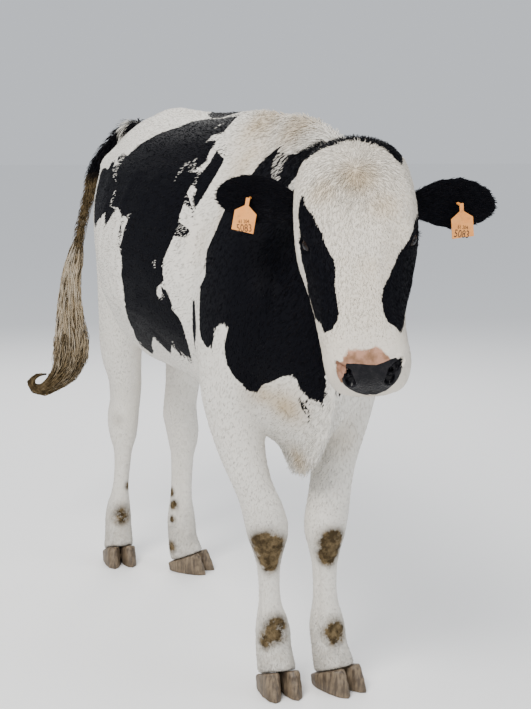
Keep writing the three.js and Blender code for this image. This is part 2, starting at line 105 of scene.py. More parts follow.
floor_look = bpy.data.materials.new("pale floor")
floor_look.use_nodes = True
floor_paint = floor_look.node_tree.nodes["Principled BSDF"]
floor_paint.inputs["Base Color"].default_value = (0.95, 0.95, 0.95, 1)
floor_paint.inputs["Roughness"].default_value = 1.0
floor_paint.inputs["Specular IOR Level"].default_value = 0.0
floor.data.materials.append(floor_look)

sky = bpy.data.worlds.new("soft sky")
sky.use_nodes = True
sky.node_tree.nodes["Background"].inputs["Color"].default_value = (0.90, 0.94, 1.0, 1)
sky.node_tree.nodes["Background"].inputs["Strength"].default_value = 0.75
bpy.context.scene.world = sky

LAMPS = {  # place, aim, width, watts, colour
    "key lamp": ((-2.6, -2.2, 4.2), (0, 0, 0.9), 2.2, 300, (1.0, 0.97, 0.92)),
    "fill lamp": ((3.4, -3.0, 2.2), (0, -0.2, 0.8), 2.6, 60, (0.92, 0.96, 1.0)),
    "rim lamp": ((1.2, 4.0, 3.6), (0, 0.3, 1.0), 2.4, 130, (1.0, 0.98, 0.95)),
}
for name, (place, aim, width, watts, colour) in LAMPS.items():
    lamp_data = bpy.data.lights.new(name, "AREA")
    lamp_data.size, lamp_data.energy, lamp_data.color = width, watts, colour
    lamp = bpy.data.objects.new(name, lamp_data)
    lamp.location = place
    lamp.rotation_euler = (Vector(aim) - Vector(place)).to_track_quat("-Z", "Y").to_euler()
    bpy.context.scene.collection.objects.link(lamp)
print("lamps:", ", ".join(LAMPS))

# %% [markdown]
# ## Frames of reference
# The solids were drawn in millimetres from the middle of her fore feet. The same numbers
# are handy here, so one function turns them into metres of the shared frame. The head has
# a frame of its own: its nose points along -Y and its brow along +Z.

# %% Body and head frames
GROUND_SHIFT = Vector((18, -356, 0))
POLL = Vector((-78, -362, 1264))
HEAD_TURN, HEAD_PITCH, HEAD_TILT = -22.8, 48.0, -5.0


def at(x, y, z):
    """A place in the body's millimetres, as metres of the shared frame."""
    return (Vector((x, y, z)) + GROUND_SHIFT) / 1000


def turn(degrees, axis):
    return Matrix.Rotation(math.radians(degrees), 4, axis)


HEAD = (
    Matrix.Translation(at(*POLL))
    @ turn(HEAD_TURN, "Z") @ turn(HEAD_PITCH, "X") @ turn(HEAD_TILT, "Y")
)
HEAD_BACK = np.array(HEAD.inverted())


def in_head(points):
    """Places as the head's own millimetres."""
    return (points @ HEAD_BACK[:3, :3].T + HEAD_BACK[:3, 3]) * 1000


def in_body(points):
    """Places as the body's millimetres."""
    return points * 1000 - np.array(GROUND_SHIFT)


print("nose tip at", tuple(round(v, 3) for v in HEAD @ Vector((0, -0.51, -0.09))))

# %% [markdown]
# ## The skin
# Flesh has no seams, so the solids of head, neck, trunk, legs, ears and tail become one
# closed skin. A voxel remesh does that: it wraps everything in one even net. The facets
# of the solids are then smoothed away, gently where she is thin and firmly on her flanks,
# and the whole skin is sunk by the depth of the coat that will cover it.

# %% Helpers for working on a whole mesh at once
def points_of(mesh):
    values = np.empty(len(mesh.vertices) * 3, np.float32)
    mesh.vertices.foreach_get("co", values)
    return values.reshape(-1, 3).astype(float)


def normals_of(mesh):
    values = np.empty(len(mesh.vertices) * 3, np.float32)
    mesh.vertex_normals.foreach_get("vector", values)
    return values.reshape(-1, 3).astype(float)


def put_points(mesh, points):
    mesh.vertices.foreach_set("co", points.astype(np.float32).ravel())
    mesh.update()


def neighbours_of(mesh):
    """The two ends of every edge, and how many edges meet at each vertex."""
    ends = np.empty(len(mesh.edges) * 2, np.int32)
    mesh.edges.foreach_get("vertices", ends)
    ends = ends.reshape(-1, 2)
    count = np.bincount(ends.ravel(), minlength=len(mesh.vertices))
    return ends[:, 0], ends[:, 1], np.maximum(count, 1)


def averaged(values, net):
    """Each vertex's value replaced by the mean of its neighbours' values."""
    a, b, count = net
    size = len(count)
    if values.ndim == 1:
        return (np.bincount(a, values[b], size) + np.bincount(b, values[a], size)) / count
    return np.stack([averaged(column, net) for column in values.T], axis=1)


def smoothstep(low, high, values):
    t = np.clip((values - low) / (high - low), 0, 1)
    return t * t * (3 - 2 * t)


def modified(obj, kind, **settings):
    """Applies one modifier to an object's mesh."""
    modifier = obj.modifiers.new(kind.lower(), kind)
    for key, value in settings.items():
        setattr(modifier, key, value)
    graph = bpy.context.evaluated_depsgraph_get()
    mesh = bpy.data.meshes.new_from_object(obj.evaluated_get(graph))
    obj.modifiers.clear()
    old, obj.data = obj.data, mesh
    mesh.name = obj.name
    bpy.data.meshes.remove(old)


# %% Wrap the flesh in one skin
FLESH = ["trunk", "neck", "head", "nose_pad", "dewlap", "udder", "tail_dock", "left_ear", "right_ear"]
FLESH += [f"{leg}_{part}" for leg in LEGS for part in ("upper_leg", "lower_leg", "foot")]
WRAPPED = FLESH + ["left_eye", "right_eye"]
VOXEL = 0.0045
OVERLAP = 0.0004  # each solid swells by this, to close the cuts between them
EAR_VOXEL, EAR_SWELL = 0.0022, 0.0022  # an ear is thin, so it is wrapped finely first



def merged_copy(name):
    """A copy of a solid with its loose triangles joined."""
    bm = bmesh.new()
    bm.from_mesh(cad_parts[name].data)
    bmesh.ops.remove_doubles(bm, verts=bm.verts, dist=1e-5)
    return finished("copy of " + name, bm)


bm = bmesh.new()
node_faces = []
for name in WRAPPED:
    part = merged_copy(name)
    thin = name.endswith("_ear")
    if thin:
        modified(part, "REMESH", mode="VOXEL", voxel_size=EAR_VOXEL)
    put_points(part.data, points_of(part.data) + normals_of(part.data) * (EAR_SWELL if thin else OVERLAP))
    node_faces.append(len(part.data.polygons))
    bm.from_mesh(part.data)
    bpy.data.objects.remove(part)
flesh_tree = BVHTree.FromBMesh(bm)
skin = finished("skin", bm)
modified(skin, "REMESH", mode="VOXEL", voxel_size=VOXEL)
print("wrapped:", len(skin.data.polygons), "faces")


# %% Keep only the outer shell
def keep_largest_island(mesh):
    bm = bmesh.new()
    bm.from_mesh(mesh)
    seen, islands = set(), []
    for start in bm.verts:
        if start in seen:
            continue
        seen.add(start)
        island, front = [start], [start]
        while front:
            here = front.pop()
            for edge in here.link_edges:
                there = edge.other_vert(here)
                if there not in seen:
                    seen.add(there)
                    island.append(there)
                    front.append(there)
        islands.append(island)
    islands.sort(key=len)
    for island in islands[:-1]:
        bmesh.ops.delete(bm, geom=island, context="VERTS")
    bm.to_mesh(mesh)
    bm.free()
    return len(islands)


print("islands found:", keep_largest_island(skin.data))

# %% Find which part each point of the skin belongs to
node_of_face = np.repeat(np.arange(len(WRAPPED)), node_faces)


def parts_at(points):
    """The index in WRAPPED of the solid nearest to each point."""
    found = [flesh_tree.find_nearest(Vector(p))[2] for p in points]
    return node_of_face[np.array(found)]


def is_part(parts, *words):
    """Which points lie on a part whose name holds one of the words."""
    chosen = [i for i, name in enumerate(WRAPPED) if any(word in name for word in words)]
    return np.isin(parts, chosen)


# %% Smooth away the facets
SMOOTHING = {  # how firmly each part is smoothed
    "trunk": 1.0, "neck": 0.6, "upper_leg": 0.38, "lower_leg": 0.13, "foot": 0.09,
    "head": 0.11, "nose_pad": 0.05, "eye": 0.05, "ear": 0.08, "dewlap": 0.2,
    "udder": 0.12, "tail_dock": 0.14,
}
SMOOTHING_STEPS = 110
points = points_of(skin.data)
net = neighbours_of(skin.data)
parts = parts_at(points)
firmness = np.zeros(len(points))
for word, value in SMOOTHING.items():
    firmness[is_part(parts, word)] = value
for _ in range(24):
    firmness = averaged(firmness, net)
for _ in range(SMOOTHING_STEPS):
    points += (0.6 * firmness)[:, None] * (averaged(points, net) - points)
put_points(skin.data, points)
print("smoothed", len(points), "points")

# %% [markdown]
# ## The markings
# Black patches on white are drawn as closed outlines. An outline is a chain of points of
# the picture, each cast from the lens onto the skin, so the patch lies on her and not in
# the air. Distances to the outline are measured over the skin, unrolled round the body's
# axis, so a patch keeps its shape from every side. Her left side can't be seen: its
# patches are given directly, as places along the body and angles down from the spine.

# %% Unroll the body and the head
BODY_AXIS = {  # along the body: how far its middle lies to the side, and its height
    "y": (-420, -330, -150, 60, 300, 1300), "x": (-88, -75, -40, -6, 0, 0),
    "z": (1130, 1120, 1000, 960, 980, 1010),
}
BODY_GIRTH, HEAD_GIRTH = 300, 95  # radii at which angles are turned into lengths
HEAD_AXIS_Z = -100


def unrolled_body(points):
    """Millimetres along the body and round it, from the spine, her left side positive."""
    x, y, z = in_body(points).T
    middle = np.interp(y, BODY_AXIS["y"], BODY_AXIS["x"])
    height = np.interp(y, BODY_AXIS["y"], BODY_AXIS["z"])
    return np.stack([y, BODY_GIRTH * np.arctan2(x - middle, z - height)], axis=1)


def unrolled_head(points):
    x, y, z = in_head(points).T
    return np.stack([y, HEAD_GIRTH * np.arctan2(x, z - HEAD_AXIS_Z)], axis=1)


# %% Cast points of the picture onto the skin
skin.data.calc_loop_triangles()
corners = np.empty(len(skin.data.loop_triangles) * 3, np.int32)
skin.data.loop_triangles.foreach_get("vertices", corners)
corners = corners.reshape(-1, 3)
points = points_of(skin.data)
normals = normals_of(skin.data)
parts = parts_at(points)
on_head = is_part(parts, "head", "nose_pad", "eye")
on_ear = is_part(parts, "ear")


def tree_of(chosen):
    faces = corners[chosen[corners].all(axis=1)]
    return BVHTree.FromPolygons(points.tolist(), faces.tolist())


TREES = {"head": tree_of(on_head), "body": tree_of(~on_head & ~on_ear)}


def cast(pixels, tree):
    """Where the lines of sight through some points of the picture meet the skin."""
    middle = np.mean(pixels, axis=0)
    hits = []
    for pixel in np.array(pixels, float):
        for step in range(12):
            hit = TREES[tree].ray_cast(LENS_AT, sight_line(pixel))[0]
            if hit:
                hits.append(hit)
                break
            pixel += (middle - pixel) * 0.04
    return np.array(hits)


FAR = 40.0  # millimetres outside an outline that no longer matter


def inside(all_places, outline):
    """How far each unrolled place lies inside a closed outline, negative outside it."""
    close = (all_places > outline.min(axis=0) - FAR) & (all_places < outline.max(axis=0) + FAR)
    close = close.all(axis=1)
    result = np.full(len(all_places), -FAR)
    places = all_places[close]
    gap = np.full(len(places), FAR)
    within = np.zeros(len(places), bool)
    for a, b in zip(outline, np.roll(outline, -1, axis=0)):
        along = np.clip((places - a) @ (b - a) / max((b - a) @ (b - a), 1e-9), 0, 1)
        gap = np.minimum(gap, np.linalg.norm(places - a - along[:, None] * (b - a), axis=1))
        crosses = (a[1] > places[:, 1]) != (b[1] > places[:, 1])
        slope = (b[0] - a[0]) / (b[1] - a[1]) if b[1] != a[1] else 0.0
        within ^= crosses & (places[:, 0] < a[0] + slope * (places[:, 1] - a[1]))
    result[close] = np.where(within, gap, -gap)
    return result


# %% The outlines seen on her right side
RUMP_PATCH = [
    (240, 107), (230, 105), (219, 106), (206, 111), (191, 120), (182, 125), (170, 128),
    (157, 133), (146, 139), (135, 147), (127, 148), (116, 155), (110, 161), (105, 170),
    (100, 180), (98, 195), (98, 210), (100, 217), (102, 214), (104, 210), (103, 221),
    (103, 229), (106, 222), (112, 213), (117, 206), (120, 215), (119, 223), (116, 234),
    (117, 243), (120, 251), (120, 266), (121, 287), (124, 304), (129, 323), (135, 338),
    (141, 348), (148, 357), (152, 361), (153, 352), (151, 343), (153, 337), (157, 342),
    (163, 349), (171, 356), (170, 341), (173, 343), (178, 355), (191, 366), (190, 355),
    (186, 343), (182, 328), (177, 319), (172, 306), (165, 291), (162, 279), (161, 266),
    (164, 255), (170, 240), (174, 232), (177, 223), (179, 212), (185, 195), (191, 183),
    (195, 174), (204, 161), (209, 149), (219, 136), (230, 122), (240, 112),
]
# A thin black strip along the fold of the flank: the fold's shade, painted in as black like a patch.
FLANK_FOLD_SHADE_STRIP = [
    (227, 143), (218, 145), (213, 155), (204, 168), (196, 178), (193, 191), (191, 206),
    (188, 219), (186, 232), (186, 241), (189, 223), (194, 206), (201, 196), (208, 185),
    (216, 172), (223, 159),
]
NECK_PATCH = [
    (285, 139), (270, 151), (258, 162), (251, 174), (240, 190), (230, 203), (224, 212),
    (215, 232), (207, 247), (202, 266), (205, 274), (199, 287), (198, 309), (198, 328),
    (200, 341), (211, 352), (213, 330), (217, 326), (223, 324), (227, 327), (226, 334),
    (223, 345), (225, 364), (235, 380), (242, 386), (246, 394), (257, 395), (261, 387),
    (270, 384), (280, 379), (290, 378), (296, 382), (300, 394), (308, 401),
]
POLL_PATCH = [
    (276, 182), (279, 172), (283, 160), (290, 153), (302, 148), (312, 145), (322, 141),
    (322, 152), (314, 153), (302, 160), (298, 172), (292, 176), (286, 188),
]
WHITE_STREAKS = {
    "hook": [(173, 181), (176, 171), (184, 162), (191, 159), (183, 168), (177, 176)],
    "hook, second": [(186, 172), (190, 162), (196, 157), (195, 163), (191, 170)],
    "loin": [(205, 141), (210, 135), (216, 132), (213, 137), (208, 140)],
    "loin, second": [(211, 128), (218, 123), (225, 120), (219, 125)],
    "flank spot": [(155, 287), (158, 284), (161, 289), (163, 298), (160, 303), (156, 298)],
    "flank dash": [(151, 268), (152, 260), (155, 260), (154, 268)],
    "thigh": [(120, 243), (121, 227), (124, 215), (130, 211), (127, 221), (123, 234)],
    "pin": [
        (127, 147), (140, 138), (135, 146), (122, 159), (116, 172), (114, 183), (112, 178),
        (111, 170), (114, 159), (120, 153),
    ],
    "pin, lower": [(115, 189), (114, 195), (111, 204), (108, 207), (109, 199), (112, 193)],
}
THIN_MARKS = {
    "brisket": [(297, 400), (300, 400), (304, 409), (306, 418), (302, 413)],
    "brisket, second": [(304, 398), (308, 398), (310, 412), (309, 426), (306, 414)],
    "belly": [(190, 300), (193, 300), (195, 330), (196, 356), (192, 340)],
}

# %% The patches that the picture hides
NECK_REST = [(-190, -180), (-430, -180), (-430, -26), (-150, -27), (-100, -27), (-51, -22),
             (-34, -16), (-46, -12)]  # closes the neck's patch behind the head
HIDDEN_PATCHES = {  # millimetres along the body, degrees round it from the spine
    "right hook": [
        (690, -38), (760, -46), (850, -42), (925, -52), (960, -70), (905, -84), (840, -74),
        (790, -80), (730, -72), (660, -72),
    ],
    "right pin": [(1110, -36), (1190, -46), (1236, -70), (1190, -96), (1130, -78), (1090, -56)],
    "tail head": [(1000, 0), (1050, -9), (1136, -11), (1136, 11), (1050, 9)],
    "left rump": [
        (890, 22), (1010, 24), (1120, 34), (1190, 52), (1230, 80), (1180, 98), (1120, 92),
        (1090, 118), (1010, 122), (985, 96), (920, 108), (890, 82), (905, 50),
    ],
    "left flank": [
        (300, -6), (530, -6), (548, 10), (600, 26), (640, 46), (712, 60), (736, 82),
        (700, 100), (722, 118), (655, 128), (610, 110), (560, 132), (500, 116), (430, 127),
        (380, 104), (345, 80), (362, 52), (318, 26),
    ],
    "left neck": [
        (-430, 180), (-215, 180), (-200, 165), (-190, 150), (-130, 140), (-72, 147),
        (-38, 130), (20, 118), (62, 129), (82, 112), (60, 96), (92, 80), (58, 62),
        (-20, 55), (-110, 50), (-180, 57), (-260, 47), (-430, 47),
    ],
}


def in_girths(outline):
    return np.array([(y, BODY_GIRTH * math.radians(angle)) for y, angle in outline])


def rounded(outline):
    """Cuts the corners of a closed outline twice."""
    for _ in range(2):
        ahead = np.roll(outline, -1, axis=0)
        cuts = outline * 0.75 + ahead * 0.25, outline * 0.25 + ahead * 0.75
        outline = np.stack(cuts, axis=1).reshape(-1, 2)
    return outline


def seen_outline(pixels):
    return unrolled_body(cast(pixels, "body"))


# These black outlines hold the black patches and also the painted shade of the flank fold.
BODY_BLACK = [seen_outline(o) for o in (RUMP_PATCH, FLANK_FOLD_SHADE_STRIP, POLL_PATCH, *THIN_MARKS.values())]
BODY_BLACK.append(np.concatenate([seen_outline(NECK_PATCH), in_girths(NECK_REST)]))
BODY_BLACK += [rounded(in_girths(outline)) for outline in HIDDEN_PATCHES.values()]
BODY_WHITE = [seen_outline(outline) for outline in WHITE_STREAKS.values()]


def body_marks(points):
    """How far places on the body lie inside the black, in millimetres; the black includes the flank fold's
    painted shade.
    """
    places = unrolled_body(points)
    black = np.max([inside(places, outline) for outline in BODY_BLACK], axis=0)
    white = np.max([inside(places, outline) for outline in BODY_WHITE], axis=0)
    return np.minimum(black, -white)


def tail_marks(points):
    """The tail is black above its matted part, with a pale ring near its root."""
    y, z = in_body(points).T[1:]
    return np.clip(np.minimum(z - 1150, np.abs(y - 1160) - 17), -FAR, FAR)


# %% The patches of the face
RIGHT_EYE_PATCH = [
    (301, 194), (303, 197), (304, 204), (308, 210), (314, 216), (318, 226), (322, 234),
    (324, 243), (328, 251), (333, 259), (335, 269), (334, 285), (336, 301), (338, 313),
    (336, 321), (331, 329), (323, 333), (320, 324), (314, 320), (310, 313), (308, 297),
    (307, 285), (302, 265), (298, 250), (296, 240), (299, 233), (297, 218), (298, 204),
]
LEFT_EYE_EDGE = [
    (418, 214), (415, 224), (411, 238), (405, 247), (400, 253), (395, 265), (389, 277),
    (383, 289), (382, 299), (384, 313), (389, 322), (395, 325), (402, 333),
]
LEFT_EYE_BACK = [(-345, 84), (-330, 112), (-290, 128), (-235, 128), (-200, 126), (-150, 112), (-120, 92)]
POLL_BAND = [
    (302, 162), (312, 154), (322, 148), (334, 145), (343, 142), (359, 141.5), (373, 143.5),
    (383, 147), (391, 153), (403, 165),
]
POLL_BACK = [(60, 70), (60, -70)]




def head_outline(pixels=(), angles=()):
    seen = [unrolled_head(cast(pixels, "head"))] if len(pixels) else []
    hidden = [(y, HEAD_GIRTH * math.radians(angle)) for y, angle in angles]
    return np.concatenate([*seen, np.array(hidden)]) if hidden else seen[0]


FACE_BLACK = [
    head_outline(RIGHT_EYE_PATCH),
    head_outline(LEFT_EYE_EDGE, LEFT_EYE_BACK),
    head_outline(POLL_BAND, POLL_BACK),
]


def face_marks(points):
    """How far places on the head lie inside the black, in millimetres."""
    places = unrolled_head(points)
    return np.max([inside(places, outline) for outline in FACE_BLACK], axis=0)


def marks_of(points, parts):
    marks = np.where(is_part(parts, "head", "nose_pad", "eye"), face_marks(points), body_marks(points))
    marks = np.where(is_part(parts, "tail_dock"), tail_marks(points), marks)
    marks[is_part(parts, "ear")] = FAR
    legs = is_part(parts, "lower_leg", "foot", "udder")
    return np.where(legs, -FAR, marks)


mark = marks_of(points, parts)
print("black share of the skin:", round(float((mark > 0).mean()), 2))

# %% [markdown]
# ## Even out the net
# The wrap is equally fine everywhere, but only the head, ears and feet need that. The
# flanks are thinned with Decimate, which spares the points that a vertex group protects.
# Then the muzzle and the eyes are divided again, so that lids and nostrils can be formed.

# %% Thin the net on the body
THINNING = {"head": 0.5, "nose_pad": 0.5, "ear": 0.5, "foot": 0.6, "lower_leg": 0.8}  # 1 elsewhere
THINNED_SHARE = 0.27
group = skin.vertex_groups.new(name="thin")
thinning = np.ones(len(points))
for word, value in THINNING.items():
    thinning[is_part(parts, word)] = value
for level in np.unique(thinning):
    group.add(np.nonzero(thinning == level)[0].tolist(), level, "REPLACE")
modified(skin, "TRIANGULATE")
modified(skin, "DECIMATE", decimate_type="COLLAPSE", ratio=THINNED_SHARE, vertex_group="thin")
skin.vertex_groups.clear()
print("thinned to", len(skin.data.polygons), "faces")


# %% Divide the muzzle and the eyes again
EYES = {side: np.array((sign * 88, -208, -50)) for side, sign in (("left", 1), ("right", -1))}
EYE_RADIUS = 20


def divide(mesh, wanted):
    """Divides the edges whose ends both satisfy wanted(points)."""
    chosen = wanted(points_of(mesh))
    bm = bmesh.new()
    bm.from_mesh(mesh)
    edges = [e for e in bm.edges if chosen[e.verts[0].index] and chosen[e.verts[1].index]]
    bmesh.ops.subdivide_edges(bm, edges=edges, cuts=1, smooth=0.0)
    bmesh.ops.triangulate(bm, faces=[f for f in bm.faces if len(f.verts) > 3])
    bm.to_mesh(mesh)
    bm.free()


def near_eyes(reach):
    def test(points):
        places = in_head(points)
        gaps = [np.linalg.norm(places - eye, axis=1) for eye in EYES.values()]
        return np.minimum(*gaps) < reach
    return test


def on_muzzle(points):
    places = in_head(points)
    front = (places[:, 1] < -415) & (places[:, 1] > -530)
    return front & (np.abs(places[:, 0]) < 90) & (places[:, 2] > -190) & (places[:, 2] < 20)


divide(skin.data, lambda p: on_muzzle(p) | near_eyes(52)(p))
divide(skin.data, near_eyes(36))
points = points_of(skin.data)
net = neighbours_of(skin.data)
fine = (on_muzzle(points) | near_eyes(60)(points)).astype(float)
for _ in range(8):
    points += (0.5 * fine)[:, None] * (averaged(points, net) - points)
put_points(skin.data, points)
print("divided to", len(skin.data.polygons), "faces")

# %% [markdown]
# ## Press the forms into the skin
# Bones, muscles and folds are worked in as a sculptor would: a soft push in or out along
# the surface, around a named place, of a stated depth. Lines such as the mouth, the fold
# of the eyelid and the creases of the neck are grooves along a short path.

# %% Sink the skin by the coat's depth
COAT_DEPTH = {  # millimetres
    "trunk": 3.5, "neck": 4.5, "upper_leg": 3.0, "lower_leg": 2.2, "foot": 1.8, "head": 2.6,
    "nose_pad": 0.3, "eye": 1.0, "ear": 1.8, "dewlap": 3.5, "udder": 1.0, "tail_dock": 6.0,
}
points = points_of(skin.data)
net = neighbours_of(skin.data)
parts = parts_at(points)
head_places, body_places = in_head(points), in_body(points)
depth = np.zeros(len(points))
for word, value in COAT_DEPTH.items():
    depth[is_part(parts, word)] = value
for _ in range(6):
    depth = averaged(depth, net)
points -= normals_of(skin.data) * (depth / 1000)[:, None]
put_points(skin.data, points)


# %% Lengthen the ears a little
EARS = {"left": ((92, -62, -126), 1.09), "right": ((-92, -62, -126), 1.05)}
for side, (root, longer) in EARS.items():
    ear = is_part(parts, side + "_ear")
    away = in_head(points)[ear] - np.array(root)
    grown = np.array(root) + away * (1 + (longer - 1) * smoothstep(20, 120, np.abs(away[:, [0]])))
    points[ear] = grown @ np.array(HEAD.to_3x3()).T / 1000 + np.array(HEAD.translation)
put_points(skin.data, points)


# %% Swell and hollow the large forms
def near(places, middle, radii):
    """1 at the middle, falling softly to 0 beyond the radii."""
    return np.exp(-1.4 * (((places - middle) / radii) ** 2).sum(axis=1))


def push(weights, millimetres):
    """Moves the skin out (or in) along its normals."""
    points[:] = points_of(skin.data) + normals_of(skin.data) * (weights * millimetres / 1000)[:, None]
    put_points(skin.data, points)


def to_path(places, path):
    """How far each place lies from a path of straight lines."""
    best = np.full(len(places), np.inf)
    for a, b in zip(path[:-1], path[1:]):
        a, b = np.array(a, float), np.array(b, float)
        along = np.clip((places - a) @ (b - a) / ((b - a) @ (b - a)), 0, 1)
        best = np.minimum(best, np.linalg.norm(places - a - along[:, None] * (b - a), axis=1))
    return best


def both(path):
    """A path and its mirror image."""
    return [path, [(-x, y, z) for x, y, z in path]]


BODY_FORMS = {  # place, reach, height, on both sides
    "hook bone": ((178, 890, 1222), (40, 52, 38), 9),
    "pin bone": ((78, 1235, 1188), (34, 36, 40), 9),
    "flank hollow": ((205, 790, 1150), (60, 75, 75), -12),
    "rump hollow": ((118, 1040, 1230), (40, 70, 40), -5),
    "thigh": ((165, 1050, 1000), (60, 100, 130), 7),
    "stifle": ((160, 850, 850), (55, 50, 60), 7),
    "behind the shoulder": ((200, 165, 1010), (70, 30, 150), -10),
    "shoulder blade": ((160, 60, 1150), (60, 40, 110), 6),
    "point of shoulder": ((150, -130, 930), (50, 45, 50), 8),
    "before the shoulder": ((130, -110, 1090), (50, 36, 80), -7),
    "elbow": ((140, 95, 800), (46, 36, 40), 6),
    "upper arm": ((135, -30, 850), (46, 60, 60), 5),
}
for place, reach, height in BODY_FORMS.values():
    for x in (place[0], -place[0]):
        push(near(body_places, (x, *place[1:]), reach), height)

x, y, z = body_places.T
on_ribs = smoothstep(190, 270, y) * (1 - smoothstep(700, 790, y)) * smoothstep(720, 820, z)
on_ribs *= (1 - smoothstep(1180, 1290, z)) * smoothstep(90, 170, np.abs(x))
RIB_STEP, RIB_LEAN = 58, 0.24
push(on_ribs * np.cos(2 * np.pi * (y + RIB_LEAN * (z - 1000)) / RIB_STEP), 1.8)
on_spine = smoothstep(60, 260, y) * (1 - smoothstep(1010, 1150, y)) * smoothstep(1280, 1330, z)
push(on_spine * np.exp(-((x / 16) ** 2)), 4)
push(on_spine * np.exp(-(((np.abs(x) - 48) / 22) ** 2)), -4)
print("pressed", len(BODY_FORMS) + 2, "kinds of form into the body")

# %% Creases of neck, brisket and flank, and the tendons of the legs
CREASES = {  # path, half width, depth
    "behind the jaw": ([(-150, -235, 1190), (-158, -215, 1080), (-120, -205, 960)], 9, -5),
    "neck, first": ([(-128, -180, 1230), (-150, -165, 1110), (-140, -150, 980)], 10, -4),
    "neck, second": ([(-120, -120, 1230), (-150, -110, 1100)], 11, -3),
    "brisket, right": ([(-80, -185, 900), (-62, -190, 780), (-48, -150, 700)], 10, -7),
    "brisket, left": ([(52, -190, 880), (30, -195, 780), (14, -150, 700)], 10, -7),
    "brisket, middle": ([(-14, -215, 860), (-20, -205, 740), (-24, -150, 640)], 12, 6),
    "right flank": ([(-196, 800, 1010), (-172, 790, 880), (-120, 760, 790)], 16, 7),
    "left flank": ([(196, 800, 1010), (172, 790, 880), (120, 740, 790)], 16, 7),
    "right thigh": ([(-190, 880, 1090), (-180, 930, 960), (-150, 940, 800)], 16, -5),
    "left thigh": ([(190, 880, 1090), (180, 900, 960), (150, 860, 800)], 16, -5),
    "right armpit": ([(-190, 130, 900), (-160, 110, 770), (-110, 90, 690)], 12, -7),
    "left armpit": ([(190, 130, 900), (170, 100, 770), (130, 80, 690)], 12, -7),
}
for path, half_width, height in CREASES.values():
    push(np.exp(-((to_path(body_places, path) / half_width) ** 2)), height)

FEET = {  # middle and turn of each foot
    "right_fore": (-62, 10, -8), "left_fore": (70, -26, 14),
    "right_hind": (-87, 1100, -8), "left_hind": (74, 938, 38),
}
for leg, (foot_x, foot_y, foot_turn) in FEET.items():
    angle = math.radians(foot_turn)
    back = (y - foot_y) * math.cos(angle) - (x - foot_x) * math.sin(angle)
    here = is_part(parts, leg) * smoothstep(120, 160, z) * (1 - smoothstep(290, 350, z))
    push(here * np.exp(-(((back - 9) / 6) ** 2)), -2.6)
    push(here * np.exp(-(((back + 10) / 9) ** 2)), 1.0)
print("folded", len(CREASES), "creases")

# %% [markdown]
# ## The head
# The head gets the most work. The brow, the crest below the eye, the jaw muscle and the
# lips are swells and hollows like those of the body. The nostrils are commas with a raised
# wing. Each eye is a slit in the lids: inside the slit the skin drops behind the eyeball,
# and round it the lids lie close on the ball, with a fold above and fine folds below.

# %% Swell and hollow the head
HEAD_FORMS = {  # place, reach, height, on both sides
    "brow": ((80, -178, -6), (22, 34, 15), 5),
    "temple": ((84, -112, -34), (20, 36, 30), -3),
    "side of the face": ((104, -190, -110), (34, 90, 52), 3),
    "crest below the eye": ((88, -285, -92), (16, 52, 14), 5),
    "before the eye": ((84, -256, -62), (18, 20, 16), -4),
    "jaw muscle": ((104, -118, -160), (34, 52, 50), 6),
    "cheek": ((88, -240, -150), (26, 44, 40), -5),
    "jaw edge": ((80, -160, -232), (20, 70, 20), 4),
    "nose bone": ((30, -320, -4), (13, 90, 12), 3),
    "beside the nose": ((60, -372, -40), (16, 46, 22), -4),
    "upper lip": ((62, -446, -98), (22, 32, 30), 7),
    "lower lip": ((44, -455, -146), (26, 30, 14), 4),
    "nostril wing": ((57, -484, -50), (11, 14, 20), 5),
    "nostril brow": ((36, -482, -28), (20, 14, 9), 4),
    "inner nostril": ((20, -506, -62), (8, 9, 16), 2),
}
for place, reach, height in HEAD_FORMS.values():
    for x in (place[0], -place[0]):
        push(near(head_places, (x, *place[1:]), reach), height)
push(near(head_places, (0, -150, 10), (26, 60, 20)), -3)
push(near(head_places, (0, -452, -160), (30, 26, 18)), 5)
push(near(head_places, (0, -10, 22), (46, 26, 26)), 6)

HEAD_GROOVES = {  # path, half width, depth; each also on the other side
    "under the nostril": ([(50, -500, -80), (58, -484, -92), (66, -462, -92)], 4, -2),
    "lip fold": ([(70, -412, -96), (76, -392, -120), (70, -388, -142)], 5, -3),
    "split lip": ([(0, -512, -84), (0, -508, -114)], 2.2, -2.0),
    "jaw": ([(84, -70, -190), (92, -120, -214), (84, -200, -222)], 9, 3),
}
for path, half_width, height in HEAD_GROOVES.values():
    for side in both(path) if path[1][0] else [path]:
        push(np.exp(-((to_path(head_places, side) / half_width) ** 2)), height)
MOUTH_Y, MOUTH_Z = (-512, -470, -430, -392), (-118, -116, -119, -127)
mouth_gap = head_places[:, 2] - np.interp(head_places[:, 1], MOUTH_Y, MOUTH_Z)
on_mouth = (1 - smoothstep(-404, -384, head_places[:, 1])) * (np.abs(head_places[:, 0]) < 100)
push(on_mouth * np.exp(-((mouth_gap / 2.8) ** 2)), -6)
push(on_mouth * np.exp(-(((mouth_gap - 8) / 5) ** 2)), 1.6)
push(on_mouth * np.exp(-(((mouth_gap + 8) / 5) ** 2)), 1.2)
print("pressed", len(HEAD_FORMS), "forms and", len(HEAD_GROOVES), "grooves into the head")

# %% Open the nostrils
NOSTRIL_PATH = [(34, -508, -70), (39, -504, -57), (47, -495, -46), (57, -483, -42)]
NOSTRIL_WIDTHS = (8.5, 4.5)  # half width at the front of the comma and at its tail
for side in (1, -1):
    path = [(side * x, y, z) for x, y, z in NOSTRIL_PATH]
    gap = to_path(head_places, path)
    tail = smoothstep(34, 60, side * head_places[:, 0])
    width = NOSTRIL_WIDTHS[0] * (1 - tail) + NOSTRIL_WIDTHS[1] * tail
    push(np.exp(-(((gap - width - 3) / 3) ** 2)), 1.6)
    push(1 - smoothstep(0.55, 1.15, gap / width), -9)

